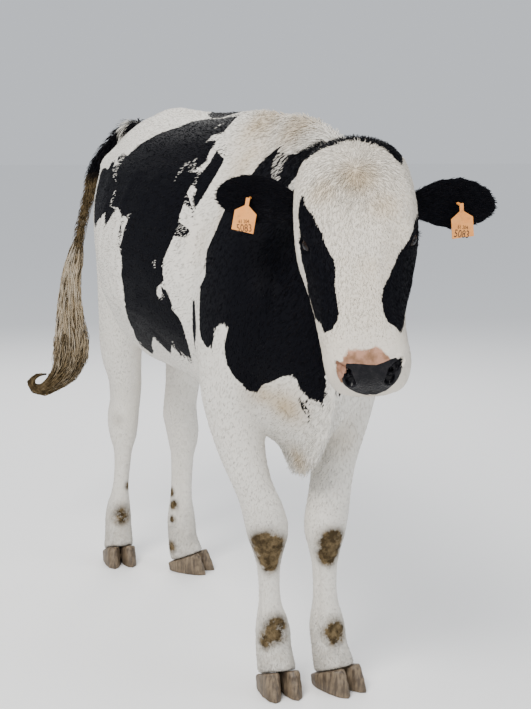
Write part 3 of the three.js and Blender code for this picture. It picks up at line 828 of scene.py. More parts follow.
# %% Form the lids
LID_HALF_LENGTH = 22.0
LID_HEIGHTS = (11.0, 9.0)  # of the opening, above and below the line between its corners
LID_TILT = math.radians(8)  # the slit points a little above the nostril
EYE_OUTWARD = (0.86, -0.45, 0.24)


def eye_frame(side):
    """Directions along the slit, up across it, and straight out of the eye."""
    sign = math.copysign(1, EYES[side][0])
    out = Vector((sign * EYE_OUTWARD[0], *EYE_OUTWARD[1:])).normalized()
    along = Vector((0, math.cos(LID_TILT), -math.sin(LID_TILT)))
    along = (along - out * along.dot(out)).normalized()
    return np.array([along, out.cross(along) * sign, out])


points = points_of(skin.data)
net = neighbours_of(skin.data)
head_now = in_head(points)
slit = {}
for name, eye in EYES.items():
    away = head_now - eye
    reach = np.linalg.norm(away, axis=1)
    along, up, outward = (away @ eye_frame(name).T).T
    height = np.where(up > 0, *LID_HEIGHTS)
    edge = np.abs(up) - height * (1 - (along / LID_HALF_LENGTH) ** 2)
    edge = np.maximum(edge, np.abs(along) - LID_HALF_LENGTH)
    facing = (reach < 46) & (outward > 2)
    on_ball = EYE_RADIUS + 3.2 - 2.2 * (1 - smoothstep(0.2, 2.4, edge))
    on_ball -= 7 * (1 - smoothstep(-2.0, 0.2, edge))
    fold = np.exp(-(((edge - 8.0) / 1.6) ** 2)) * (up > 0) * 1.8
    fold += np.exp(-(((edge - 5.5) / 1.3) ** 2)) * (up < 0) * 0.9
    fold += np.exp(-(((edge - 10.5) / 1.6) ** 2)) * (up < 0) * 0.9
    target = eye + away / reach[:, None] * (on_ball - fold)[:, None]
    hold = (1 - smoothstep(3, 17, edge)) * facing
    points += hold[:, None] * (target - head_now) / 1000 @ np.array(HEAD.to_3x3()).T
    slit[name] = np.where(facing, edge, 60.0)
put_points(skin.data, points)
to_slit = np.minimum(slit["left"], slit["right"])
print("lids formed round", len(EYES), "eyes;", len(skin.data.polygons), "faces in the skin")

# %% [markdown]
# ## Stains, bare skin and the lie of the hair
# The patches are not all her colour. Her forehead and withers are creamy, her knees and
# fetlocks are stained with mud, and round her nose the skin is bare, part pink and part
# black. Each is a soft spot round a named place. The hair also has a direction: backwards
# on the body, down the legs, and outwards from a whorl on the forehead.

# %% Stains and bare skin
points = points_of(skin.data)
normals = normals_of(skin.data)
net = neighbours_of(skin.data)
parts = parts_at(points)

MUD_SPOTS = {  # pixel on the spot, reach in millimetres, strength
    "right knee": ((267, 550), 40, 2.0), "right knee, below": ((270, 563), 26, 1.5),
    "left knee": ((333, 543), 30, 1.9), "left knee, below": ((329, 556), 27, 1.6),
    "right fore fetlock": ((277, 630), 34, 1.2), "right pastern": ((266, 640), 30, 0.9),
    "left fore fetlock": ((336, 633), 32, 1.3), "right hind fetlock": ((122, 516), 36, 0.9),
    "left hind shin, top": ((171, 492), 14, 1.2), "left hind shin": ((173, 505), 15, 1.3),
    "left hind shin, low": ((172, 519), 12, 1.1), "right hind shin": ((128, 486), 13, 1.0),
    "left hind pastern": ((171, 547), 26, 0.8), "right hock": ((117, 420), 26, 0.25),
}
CREAM_SPOTS = {  # pixel, reach, strength
    "whorl": ((356, 176), 52, 1.0), "left forehead": ((384, 205), 46, 0.7),
    "right forehead": ((322, 190), 44, 0.8), "nose bone": ((366, 262), 44, 0.55),
    "cheek": ((346, 258), 30, 0.5), "lower nose": ((362, 318), 40, 0.35),
    "withers": ((262, 122), 80, 1.0), "neck top": ((296, 124), 70, 1.0),
    "shoulder": ((248, 160), 80, 0.8), "brisket": ((284, 408), 50, 1.0),
    "brisket fold": ((262, 396), 36, 0.9), "shoulder, low": ((225, 215), 70, 0.5),
    "dewlap tip": ((298, 462), 34, 0.8), "left forearm": ((345, 440), 40, 0.35),
    "loin": ((200, 240), 60, 0.25),
}


def spot_places(spots):
    found = []
    for pixel, reach, strength in spots.values():
        ray = sight_line(pixel)
        hits = [tree.ray_cast(LENS_AT, ray)[0] for tree in TREES.values()]
        hits = [hit for hit in hits if hit]
        if hits:
            found.append((min(hits, key=lambda hit: (hit - LENS_AT).length), reach, strength))
    return found


MUD_PLACES, CREAM_PLACES = spot_places(MUD_SPOTS), spot_places(CREAM_SPOTS)


def spotted(points, places):
    """The strongest of some soft round spots at each point."""
    value = np.zeros(len(points))
    for place, reach, strength in places:
        gap = np.linalg.norm(points - np.array(place), axis=1) * 1000
        value = np.maximum(value, strength * np.exp(-((gap / reach) ** 2)))
    return value


NOSE_BLACK_EDGE = [
    (346, 362), (353, 363), (360, 363.5), (368, 365), (377, 365), (384, 362), (390, 358),
    (396, 355.5), (401, 359), (402.5, 366), (401, 374), (397, 381), (392, 386), (386, 391),
    (376, 394.5), (366, 395), (357, 393), (349, 389), (343, 384), (341.5, 378), (344, 373),
    (347.5, 369), (345, 366),
]
PINK_EDGES = [
    [(336, 365), (340, 360), (346, 360), (350, 368), (347, 374), (346, 383), (341, 383), (337, 377)],
    [(343, 357), (349, 352), (356, 351), (362, 352.5), (369, 352), (370, 369), (357, 368), (345, 366)],
    [(368, 352), (375, 350), (382, 351), (388, 354), (391, 360), (382, 368), (368, 369)],
    [(391, 360), (398, 358), (401, 366), (399, 375), (394, 380), (389, 372)],
]


def on_front(points):
    """Millimetres across and up the front of the muzzle."""
    return in_head(points)[:, [0, 2]]


def front_outline(pixels):
    return on_front(cast(pixels, "head"))


NOSE_OUTLINE = front_outline(NOSE_BLACK_EDGE)
PINK_OUTLINES = [front_outline(edge) for edge in PINK_EDGES]


def stains_of(points, parts):
    """Mud, cream, pink and bare black skin at each point, from 0 to 1."""
    x, y, z = in_head(points).T
    head = is_part(parts, "head", "nose_pad")
    front = head * smoothstep(430, 445, -y)
    flat = on_front(points)
    pad = front * smoothstep(-1.0, 1.5, inside(flat, NOSE_OUTLINE))
    bare = np.max([inside(flat, outline) for outline in PINK_OUTLINES], axis=0)
    pink = front * smoothstep(-2.5, 2.0, bare)
    mouth = np.interp(y, MOUTH_Y, MOUTH_Z)
    lips = head * smoothstep(388, 400, -y) * np.exp(-(((z - mouth) / 5) ** 2))
    udder = is_part(parts, "udder") * 0.8
    soiled = is_part(parts, "tail_dock") * (1 - smoothstep(1.12, 1.19, points[:, 2])) * 1.6
    high = points[:, 2]
    low = is_part(parts, "foot", "lower_leg") * (0.05 + 0.22 * (1 - smoothstep(0.07, 0.25, high)))
    mud = np.maximum.reduce([spotted(points, MUD_PLACES), low, soiled * 0.8])
    return {
        "mud": mud,
        "cream": np.maximum(spotted(points, CREAM_PLACES), 0.36 * head),
        "pink": np.maximum.reduce([pink, udder, lips * 0.6]),
        "nose": pad,
    }


stains = stains_of(points, parts)
print("stains:", {name: round(float(value.mean()), 3) for name, value in stains.items()})

# %% The lie of the hair
WHORL = (0, -92, 14)
EAR_LIES = {}
for side in ("left", "right"):
    tip = points[is_part(parts, side + "_ear")]
    far = np.linalg.norm(in_head(tip)[:, [0]], axis=1)
    order = np.argsort(far)
    few = max(len(order) // 12, 1)
    EAR_LIES[side] = tip[order[-few:]].mean(axis=0) - tip[order[:few]].mean(axis=0)


def lay(words, direction):
    lie[is_part(parts, *words)] = direction


lie = np.zeros_like(points)
lay(["trunk"], (0, 1, -0.32))
lay(["neck"], (0.05, 0.8, -0.75))
lay(["dewlap"], (0, 0.4, -1))
lay(["upper_leg"], (0, 0.25, -1))
lay(["lower_leg", "foot", "udder"], (0, 0.08, -1))
lay(["tail_dock"], (-0.2, 0.2, -1))
for side, direction in EAR_LIES.items():
    lay([side + "_ear"], direction / np.linalg.norm(direction))
head_places = in_head(points)
away = head_places - np.array(WHORL)
away[:, 1] -= 0.45 * np.abs(away[:, 0])
away /= np.maximum(np.linalg.norm(away, axis=1), 1)[:, None]
down_nose = smoothstep(60, 190, -head_places[:, 1])[:, None]
away = away * (1 - 0.6 * down_nose) + down_nose * np.array((0.0, -0.8, -0.12))
head_turned = np.array(HEAD.to_3x3())
on_head = is_part(parts, "head", "nose_pad", "eye")
lie[on_head] = away[on_head] @ head_turned.T
for _ in range(30):
    lie = averaged(lie, net)
lie -= normals * (lie * normals).sum(axis=1)[:, None]
lie /= np.maximum(np.linalg.norm(lie, axis=1), 1e-6)[:, None]

# %% How long, wide and dense the hair is at each point of the skin
COAT = {  # length mm, width mm, lift, locks for each square metre
    "trunk": (14, 2.5, 0.055, 24000), "neck": (16, 2.5, 0.09, 30000),
    "upper_leg": (12, 2.4, 0.055, 24000), "lower_leg": (8, 1.9, 0.07, 38000),
    "foot": (8, 1.8, 0.12, 44000), "head": (9, 1.6, 0.11, 72000), "nose_pad": (4, 1.1, 0.2, 0),
    "eye": (4, 0.9, 0.12, 60000), "ear": (11, 1.8, 0.14, 66000), "dewlap": (17, 2.6, 0.12, 28000),
    "udder": (6, 1.6, 0.12, 9000), "tail_dock": (26, 3.2, 0.26, 32000),
}
coat = np.zeros((len(points), 4))
for word, values in COAT.items():
    coat[is_part(parts, word)] = values
for _ in range(10):
    coat = averaged(coat, net)
body_places = in_body(points)


def lengthen(places, middle, reach, more, lift=0.0):
    """Longer, looser hair round a place."""
    here = near(places, middle, reach)
    coat[:, 0] += here * more
    coat[:, 2] += here * lift


lengthen(body_places, (-20, -60, 1340), (90, 260, 60), 17, 0.24)
lengthen(body_places, (-60, -230, 1300), (80, 130, 70), 16, 0.28)
lengthen(body_places, (0, 300, 1370), (40, 320, 40), 8, 0.10)
lengthen(body_places, (0, 1150, 1290), (60, 90, 50), 18, 0.30)
lengthen(body_places, (-10, -60, 560), (60, 120, 90), 12, 0.14)
lengthen(body_places, (0, 500, 640), (60, 400, 40), 8, 0.10)
lengthen(head_places, (0, -10, 16), (70, 34, 40), 8, 0.05)
lengthen(head_places, (0, -110, 14), (76, 74, 34), 8, 0.10)
for x in (1, -1):
    lengthen(head_places, (x * 96, -52, -112), (40, 34, 46), 16, 0.20)
    lengthen(head_places, (x * 84, -70, -215), (30, 60, 40), 8, 0.12)
coat[:, 3] *= 1 - np.clip(stains["nose"] + stains["pink"] * on_head, 0, 1)
coat[:, 3] *= smoothstep(0.5, 4.0, to_slit)
coat[:, 0] *= 0.35 + 0.65 * smoothstep(2, 30, to_slit)
muzzle = smoothstep(400, 470, -head_places[:, 1]) * on_head
coat[:, 0] *= 1 - 0.5 * muzzle
coat[:, 1] *= 1 - 0.35 * muzzle
print("mean hair length:", round(float(coat[:, 0].mean()), 1), "mm")

# %% [markdown]
# ## One finish for skin and hair
# The same shader colours the skin and every lock on it, so the patches match. It reads
# what each point carries: how far inside a black patch it lies, its mud, cream, pink and
# bare share, and a tone of its own. The work is done in a node group with named inputs.

# %% Node helpers
def node(tree, kind, inputs=None, **settings):
    """A shader node with its settings and inputs; an input may be another node's socket."""
    made = tree.nodes.new(kind)
    for key, value in settings.items():
        setattr(made, key, value)
    for key, value in (inputs or {}).items():
        if isinstance(value, bpy.types.NodeSocket):
            tree.links.new(value, made.inputs[key])
        else:
            made.inputs[key].default_value = value
    return made


def carried(tree, name):
    return node(tree, "ShaderNodeAttribute", attribute_name=name).outputs["Fac"]


def maths(tree, operation, a, b=0.0, clamp=False):
    made = node(tree, "ShaderNodeMath", {0: a, 1: b}, operation=operation, use_clamp=clamp)
    return made.outputs[0]


def blend(tree, share, a, b, way="MIX"):
    made = node(tree, "ShaderNodeMix", {0: share, 6: a, 7: b}, data_type="RGBA", blend_type=way)
    return made.outputs[2]


def spread(tree, value, low, high, out_low=0.0, out_high=1.0):
    inputs = {0: value, 1: low, 2: high, 3: out_low, 4: out_high}
    return node(tree, "ShaderNodeMapRange", inputs).outputs[0]


def noise(tree, scale, detail=3.0, roughness=0.55):
    place = node(tree, "ShaderNodeTexCoord").outputs["Object"]
    inputs = {"Vector": place, "Scale": scale, "Detail": detail, "Roughness": roughness}
    return node(tree, "ShaderNodeTexNoise", inputs).outputs[0]


def new_group(name, inputs, outputs):
    group = bpy.data.node_groups.new(name, "ShaderNodeTree")
    for socket, kind, value in inputs:
        made = group.interface.new_socket(socket, in_out="INPUT", socket_type="NodeSocket" + kind)
        made.default_value = value
    for socket, kind in outputs:
        group.interface.new_socket(socket, in_out="OUTPUT", socket_type="NodeSocket" + kind)
    return group, node(group, "NodeGroupInput").outputs, node(group, "NodeGroupOutput")


def new_material(name, group=None, inputs=None, links=(), bump=0.0, **paint):
    """A Principled material, fed by a node group where one is given."""
    material = bpy.data.materials.new(name)
    material.use_nodes = True
    tree = material.node_tree
    shader = tree.nodes["Principled BSDF"]
    for key, value in paint.items():
        shader.inputs[key.replace("_", " ")].default_value = value
    if group:
        made = node(tree, "ShaderNodeGroup", node_tree=group)
        for key, value in (inputs or {}).items():
            made.inputs[key].default_value = value
        for socket in links:
            tree.links.new(made.outputs[socket], shader.inputs[socket])
        if bump:
            height = made.outputs["Height"]
            raised = node(tree, "ShaderNodeBump", {"Height": height, "Distance": bump})
            tree.links.new(raised.outputs[0], shader.inputs["Normal"])
    return material


# %% The hide's colours
WHITE_HAIR, CREAM_HAIR = (0.72, 0.69, 0.63, 1), (0.50, 0.40, 0.27, 1)
# BLACK_HAIR also colours the painted shade of the flank fold.
BLACK_HAIR, RUSTY_HAIR = (0.0022, 0.0023, 0.0040, 1), (0.006, 0.005, 0.006, 1)
MUD, DRY_MUD = (0.045, 0.031, 0.015, 1), (0.14, 0.10, 0.052, 1)
PINK_SKIN, TAN_SKIN = (0.40, 0.22, 0.15, 1), (0.22, 0.12, 0.07, 1)
NOSE_BLACK, NOSE_GREY = (0.004, 0.004, 0.006, 1), (0.012, 0.011, 0.013, 1)

hide_group, given, out = new_group(
    "hide colours",
    [("Ragged", "Float", 3.0), ("Tone range", "Float", 0.25)],
    [("Base Color", "Color"), ("Roughness", "Float"), ("Coat Weight", "Float"), ("Height", "Float")],
)
tree = hide_group
ragged = maths(tree, "MULTIPLY", maths(tree, "SUBTRACT", noise(tree, 160, 4), 0.5), given["Ragged"])
edge = maths(tree, "ADD", carried(tree, "mark"), ragged)
black_share = spread(tree, edge, -0.6, 0.6)
tone = carried(tree, "tone")
patchy = noise(tree, 7, 3)
white = blend(tree, maths(tree, "MULTIPLY", carried(tree, "cream"), spread(tree, patchy, 0.3, 0.6, 0.5)),
              WHITE_HAIR, CREAM_HAIR)
shade = maths(tree, "ADD", maths(tree, "MULTIPLY", maths(tree, "SUBTRACT", tone, 0.5),
                                 given["Tone range"]), spread(tree, patchy, 0.2, 0.8, 0.93, 1.03))
white = blend(tree, 1.0, white, node(tree, "ShaderNodeCombineColor", {0: shade, 1: shade, 2: shade})
              .outputs[0], "MULTIPLY")
black = blend(tree, spread(tree, tone, 0.55, 1.0), BLACK_HAIR, RUSTY_HAIR)
colour = blend(tree, black_share, white, black)
mud_noise = spread(tree, noise(tree, 34, 5, 0.7), 0.28, 0.56)
mud_share = maths(tree, "MULTIPLY", carried(tree, "mud"), maths(tree, "ADD", mud_noise, 0.5), True)
colour = blend(tree, mud_share, colour, blend(tree, spread(tree, noise(tree, 60), 0.4, 0.65), MUD, DRY_MUD))
freckles = spread(tree, noise(tree, 55, 4), 0.40, 0.62)
bare = blend(tree, freckles, PINK_SKIN, TAN_SKIN)
bare_edge = maths(tree, "MULTIPLY", maths(tree, "SUBTRACT", noise(tree, 70, 3), 0.5), 1.1)
bare_share = spread(tree, maths(tree, "ADD", carried(tree, "pink"), bare_edge), 0.3, 0.75)
bare_share = maths(tree, "MULTIPLY", bare_share, spread(tree, carried(tree, "pink"), 0.0, 0.2))
colour = blend(tree, bare_share, colour, bare)
nose_share = spread(tree, maths(tree, "ADD", carried(tree, "nose"), maths(
    tree, "MULTIPLY", maths(tree, "SUBTRACT", noise(tree, 46, 2), 0.5), 0.9)), 0.42, 0.55)
colour = blend(tree, nose_share, colour, blend(tree, spread(tree, noise(tree, 90), 0.45, 0.7),
                                               NOSE_BLACK, NOSE_GREY))
tree.links.new(colour, out.inputs["Base Color"])
tree.links.new(spread(tree, nose_share, 0, 1, 0.62, 0.30), out.inputs["Roughness"])
tree.links.new(maths(tree, "MULTIPLY", nose_share, 0.18), out.inputs["Coat Weight"])
place = node(tree, "ShaderNodeTexCoord").outputs["Object"]
cells = node(tree, "ShaderNodeTexVoronoi", {"Vector": place, "Scale": 330.0}).outputs["Distance"]
grain = maths(tree, "MULTIPLY", maths(tree, "SUBTRACT", 1.0, cells), carried(tree, "nose"))
fine = maths(tree, "MULTIPLY", noise(tree, 420, 4), 0.5)
tree.links.new(maths(tree, "ADD", grain, fine), out.inputs["Height"])

LINKS = ("Base Color", "Roughness", "Coat Weight")
skin_look = new_material("hide", hide_group, {"Ragged": 7.0, "Tone range": 0.1}, LINKS, bump=0.0012,
                         Specular_IOR_Level=0.05, Coat_Roughness=0.14)
hair_look = new_material("hair", hide_group, {"Ragged": 0.0, "Tone range": 0.26}, LINKS[:2],
                         Specular_IOR_Level=0.05)


def carry(mesh, values):
    """Stores named values on a mesh's points."""
    for name, value in values.items():
        layer = mesh.attributes.new(name, "FLOAT", "POINT")
        layer.data.foreach_set("value", np.asarray(value, np.float32))


mark = marks_of(points, parts)
carry(skin.data, {"mark": mark, "tone": np.full(len(points), 0.5), **stains})
skin.data.materials.append(skin_look)
skin.data.shade_smooth()
print("materials:", skin_look.name, "and", hair_look.name)

# %% [markdown]
# ## Locks of hair
# A lock starts as a tiny sphere of three sides and a ring or more, stretched along its
# length: closed, pointed at both ends, and only a few faces. Thousands of copies are laid
# on the skin at once, each with its own root, direction, length and bend.

# %% One lock, and a field of copies of it
def lock_shape(rings):
    """How far along each point of a lock is, where it sits in the cross-section, its faces."""
    bm = bmesh.new()
    bmesh.ops.create_uvsphere(bm, u_segments=3, v_segments=rings + 1, radius=1.0)
    bmesh.ops.triangulate(bm, faces=bm.faces)
    places = np.array([v.co for v in bm.verts])
    faces = np.array([[v.index for v in f.verts] for f in bm.faces])
    bm.free()
    along = np.arccos(np.clip(-places[:, 2], -1, 1)) / math.pi
    return along, places[:, 0], places[:, 1], faces


def mesh_of(name, places, faces):
    mesh = bpy.data.meshes.new(name)
    mesh.vertices.add(len(places))
    mesh.vertices.foreach_set("co", places.astype(np.float32).ravel())
    mesh.loops.add(faces.size)
    mesh.loops.foreach_set("vertex_index", faces.astype(np.int32).ravel())
    mesh.polygons.add(len(faces))
    mesh.polygons.foreach_set("loop_start", np.arange(0, faces.size, 3, dtype=np.int32))
    mesh.update(calc_edges=True)
    mesh.shade_smooth()
    return mesh


PATCH = 0.003  # each lock's share of the bake map


def grow(name, rings, spines, sides, ups, widths, flatness, values, uv, look):
    """Joins many locks in one object. spines(t) gives every lock's middle line at t."""
    along, across, over, faces = lock_shape(rings)
    count, size = len(widths), len(along)
    places = np.empty((count, size, 3))
    for i in range(size):
        middle = spines(along[i])
        places[:, i] = middle + sides * (across[i] * widths / 2)[:, None]
        places[:, i] += ups * (over[i] * widths / 2 * flatness)[:, None]
    every = (faces[None] + size * np.arange(count)[:, None, None]).reshape(-1, 3)
    mesh = mesh_of(name, places.reshape(-1, 3), every)
    carry(mesh, {key: np.repeat(value, size) for key, value in values.items()})
    layer = mesh.uv_layers.new(name="OFBake")
    spot = np.stack([along - 0.5, across / 2], axis=1) * PATCH
    spots = (uv[:, None] + spot[None])[:, faces.ravel()] if len(faces) else uv
    layer.data.foreach_set("uv", spots.astype(np.float32).ravel())
    mesh.materials.append(look)
    obj = bpy.data.objects.new(name, mesh)
    bpy.context.scene.collection.objects.link(obj)
    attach(obj, "root")
    return obj


# %% Sow the roots evenly over the skin
skin.data.calc_loop_triangles()
corners = np.empty(len(skin.data.loop_triangles) * 3, np.int32)
skin.data.loop_triangles.foreach_get("vertices", corners)
corners = corners.reshape(-1, 3)
edges = points[corners]
areas = np.linalg.norm(np.cross(edges[:, 1] - edges[:, 0], edges[:, 2] - edges[:, 0]), axis=1) / 2
middles = edges.mean(axis=1)
cell = np.floor(middles / 0.03).astype(int)
order = np.lexsort((cell[:, 0], cell[:, 1] * (1 - 2 * (cell[:, 0] % 2)), cell[:, 2]))
corners, areas = corners[order], areas[order]
print("skin area:", round(float(areas.sum()), 2), "square metres")
QUICK_SHARE = 1.0


def sow(words, seed, share=1.0, only=None):
    """Roots on the parts with these words: faces and weights of their three corners."""
    draw = np.random.default_rng(seed)
    here = is_part(parts, *words)
    wanted = coat[:, 3] * here * share * QUICK_SHARE
    if only is not None:
        wanted = wanted * only
    expected = np.cumsum(areas * wanted[corners].mean(axis=1))
    count = int(expected[-1])
    steps = (np.arange(count) + draw.random(count)) * expected[-1] / count
    faces = corners[np.minimum(np.searchsorted(expected, steps), len(corners) - 1)]
    a, b = draw.random(count), draw.random(count)
    flip = a + b > 1
    a, b = np.where(flip, 1 - a, a), np.where(flip, 1 - b, b)
    return faces, np.stack([1 - a - b, a, b], axis=1), draw


def mixed(values, faces, weights):
    """Values of the skin's points, blended at the roots."""
    picked = values[faces]
    if values.ndim == 1:
        return (picked * weights).sum(axis=1)
    return (picked * weights[:, :, None]).sum(axis=1)


def unit(vectors):
    return vectors / np.maximum(np.linalg.norm(vectors, axis=1), 1e-9)[:, None]


def bake_spots(roots, kind):
    """Where each root lies on an unwrap of its part: along it and round it, within 0 to 1."""
    x, y, z = in_body(roots).T
    if kind == "body":
        flat = unrolled_body(roots)
    elif kind == "head":
        flat = unrolled_head(roots)
    elif kind == "ears":
        hx, hy, hz = in_head(roots).T
        flat = np.stack([hx, hy + np.where(hx > 0, 300, 0)], axis=1)
    else:
        leg = is_part(parts_at(roots), "right") * 2 + (y > 500)
        centres = np.array([(70, -26), (74, 1000), (-62, 10), (-87, 1080)])[leg.astype(int)]
        around = np.arctan2(y - centres[:, 1], x - centres[:, 0]) / math.pi
        flat = np.stack([z, around * 100 + leg * 240], axis=1)
    low, high = flat.min(axis=0), flat.max(axis=0)
    return PATCH + (1 - 2 * PATCH) * (flat - low) / (high - low)


def coat_piece(name, words, seed, kind, rings=1, share=1.0, only=None, ruffle=0.18, wave=0.0):
    """Covers some parts of the skin with locks that follow its lie."""
    faces, weights, draw = sow(words, seed, share, only)
    roots = mixed(points, faces, weights)
    up = unit(mixed(normals, faces, weights))
    flow = mixed(lie, faces, weights)
    side = unit(np.cross(up, flow))
    flow = np.cross(side, up)
    length, width, lift, _ = mixed(coat, faces, weights).T
    count = len(roots)
    length = length * (0.7 + 0.6 * draw.random(count)) / 1000
    width = width * (0.7 + 0.6 * draw.random(count)) / 1000
    lift = lift * (0.5 + draw.random(count))
    lean = draw.normal(0, ruffle, count)
    phase = draw.random(count) * 2 * math.pi
    flow = unit(flow + side * lean[:, None])
    side = np.cross(up, flow)
    roots = roots - flow * (0.35 * length)[:, None]

    def spines(t):
        rise = length * lift * (2.1 * t - 1.2 * t * t) - 0.0012 * (1 - t) ** 2
        sway = length * wave * np.sin(2 * math.pi * 1.2 * t + phase) * t
        return roots + flow * (length * t)[:, None] + up * rise[:, None] + side * sway[:, None]

    where = parts[faces[np.arange(count), weights.argmax(axis=1)]]
    middle = spines(0.65)
    stained = stains_of(middle, where)
    ragged = draw.normal(0, 0.9, count)
    values = {
        "mark": np.where(marks_of(middle, where) + ragged > 0, FAR, -FAR),
        "tone": draw.random(count), **stained, "nose": np.zeros(count),
        "pink": stained["pink"] * 0.3,
    }
    made = grow(name, rings, spines, side, up, width, 0.35, values, bake_spots(middle, kind),
                hair_look)
    print(name, count, "locks,", len(made.data.polygons), "faces")
    return made


rear = smoothstep(0, 1, (body_places[:, 1] > 440).astype(float))
right = (body_places[:, 0] < 0).astype(float)
coat_piece("coat_right_flank", ["trunk"], 11, "body", only=right)
coat_piece("coat_left_flank", ["trunk"], 12, "body", only=1 - right)
coat_piece("coat_neck", ["neck", "dewlap"], 13, "body", rings=2, wave=0.05)
brow = smoothstep(-236, -190, head_places[:, 1]) * (head_places[:, 2] > -45)
coat_piece("coat_forehead", ["head"], 14, "head", rings=3, wave=0.10, only=brow)
coat_piece("coat_face", ["head", "eye", "nose_pad"], 19, "head", rings=2, share=0.93, wave=0.03,
           only=1 - brow)
coat_piece("coat_ears", ["ear"], 15, "ears", rings=2)
coat_piece("coat_fore_legs", ["fore"], 16, "legs")
coat_piece("coat_hind_legs", ["hind", "udder"], 17, "legs")
coat_piece("coat_tail_dock", ["tail_dock"], 18, "body", rings=2, ruffle=0.3, wave=0.1)

# %% [markdown]
# ## The switch of the tail
# The switch is a soft core with long wavy locks combed along it. Each lock runs part of the
# way down the tail's line, at its own distance from the middle.

# %% Comb the switch
SWITCH_PATH = [  # place of the tail's middle and its radius, in the body's millimetres
    (-128, 1315, 985, 19), (-135, 1317, 950, 21), (-143, 1318, 910, 24), (-155, 1320, 860, 27),
    (-161, 1320, 797, 31), (-161, 1320, 734, 38), (-157, 1320, 671, 48), (-161, 1320, 617, 50),
    (-178, 1320, 570, 40), (-211, 1320, 535, 25), (-250, 1320, 512, 17), (-280, 1320, 518, 13),
    (-293, 1320, 541, 9), (-272, 1320, 561, 6), (-240, 1320, 562, 4),
]
path = np.array(SWITCH_PATH, float)
steps = np.concatenate([[0], np.cumsum(np.linalg.norm(np.diff(path[:, :3], axis=0), axis=1))])
steps /= steps[-1]


def on_switch(s):
    """Middle, radius and two square directions at shares s of the way down the switch."""
    s = np.clip(s, 0, 1)
    middle = np.stack([np.interp(s, steps, path[:, i]) for i in range(3)], axis=1)
    ahead = np.stack([np.interp(np.clip(s + 0.03, 0, 1), steps, path[:, i]) for i in range(3)], axis=1)
    behind = np.stack([np.interp(np.clip(s - 0.03, 0, 1), steps, path[:, i]) for i in range(3)], axis=1)
    along = unit(ahead - behind)
    across = np.tile((0.0, 1.0, 0.0), (len(s), 1))
    return middle, np.interp(s, steps, path[:, 3]), across, np.cross(along, across)


draw = np.random.default_rng(31)
count = int(2300 * QUICK_SHARE)
start = draw.random(count) ** 1.3 * 0.86
reach = np.minimum(0.16 + 0.26 * draw.random(count), 1.0 - start)
angle = draw.random(count) * 2 * math.pi
ring = 0.62 + 0.36 * draw.random(count)
swirl, phase = draw.normal(0, 0.5, count), draw.random(count) * 2 * math.pi


def switch_lines(t):
    middle, radius, across, over = on_switch(start + reach * t)
    turned = angle + swirl * t
    loose = ring * (0.55 + 0.6 * math.sin(math.pi * min(t * 1.25, 1.0))) + 0.14 * t
    loose = loose + 0.10 * t * np.sin(9 * t + phase)
    places = middle + (across * np.cos(turned)[:, None] + over * np.sin(turned)[:, None]) * (
        (radius * loose)[:, None])
    return (places + np.array(GROUND_SHIFT)) / 1000


middle, radius, across, over = on_switch(start + 0.4 * reach)
side = -across * np.sin(angle)[:, None] + over * np.cos(angle)[:, None]
out = across * np.cos(angle)[:, None] + over * np.sin(angle)[:, None]
width = (2.6 + 2.6 * draw.random(count)) / 1000
dark = smoothstep(0.72, 0.95, start + 0.6 * reach) + 0.5 * (draw.random(count) < 0.16)
values = {
    "mark": np.full(count, -FAR), "tone": draw.random(count), "pink": np.zeros(count),
    "cream": 0.75 + 0.5 * draw.random(count), "nose": np.zeros(count),
    "mud": np.clip(0.25 + dark + 0.35 * smoothstep(0.30, 0.55, start), 0, 1.6),
}
switch_uv = np.stack([start, angle / (2 * math.pi)], axis=1) * (1 - 2 * PATCH) + PATCH
switch = grow("switch_locks", 6, switch_lines, side, out, width, 0.5, values, switch_uv,
              hair_look)
print("switch:", count, "locks,", len(switch.data.polygons), "faces")


def cad_copy(names, name):
    """One object made of copies of the named solids, which it replaces."""
    bm = bmesh.new()
    for source in names:
        solid = bpy.data.objects[source]
        part = solid.data.copy()
        part.transform(solid.matrix_world)
        bm.from_mesh(part)
        bpy.data.meshes.remove(part)
    bmesh.ops.remove_doubles(bm, verts=bm.verts, dist=1e-6)
    return finished(name, bm)


core = cad_copy(["tail_switch"], "switch_core")
modified(core, "REMESH", mode="VOXEL", voxel_size=0.004)
places = points_of(core.data)
core_net = neighbours_of(core.data)
for _ in range(14):
    places += 0.6 * (averaged(places, core_net) - places)
put_points(core.data, places)
put_points(core.data, places - normals_of(core.data) * 0.005)
count = len(places)
carry(core.data, {"mark": np.full(count, -FAR), "tone": np.full(count, 0.3), "pink": np.zeros(count),
                  "cream": np.ones(count), "nose": np.zeros(count), "mud": np.full(count, 0.8)})
core.data.materials.clear()
core.data.materials.append(hair_look)
core.data.shade_smooth()
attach(core, "root")
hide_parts("tail_switch")

# %% [markdown]
# ## Claws
# The claws keep the solids' shape, rounded and worn. Growth rings run round them, level
# with the coronet, and their colour changes from horn to soiled grey-brown.

# %% Round the claws
claw_names = [f"{leg}_{side}_{kind}" for leg in LEGS for side in ("left", "right")
              for kind in ("claw", "dewclaw")]
claws = cad_copy(claw_names, "claws")
CLAW_VOXEL = 0.0024
modified(claws, "REMESH", mode="VOXEL", voxel_size=CLAW_VOXEL)
places = points_of(claws.data)
claw_net = neighbours_of(claws.data)
floor_level = places[:, 2].min()
for _ in range(9):
    places += 0.6 * (averaged(places, claw_net) - places)
places[:, 2] = np.maximum(places[:, 2], floor_level)
put_points(claws.data, places)
height = places[:, 2] * 1000
worn = 0.4 * np.sin(height / 3.4) * smoothstep(8, 20, height)
put_points(claws.data, places + normals_of(claws.data) * (worn / 1000)[:, None])
modified(claws, "DECIMATE", decimate_type="COLLAPSE", ratio=0.5)
claws.data.shade_smooth()

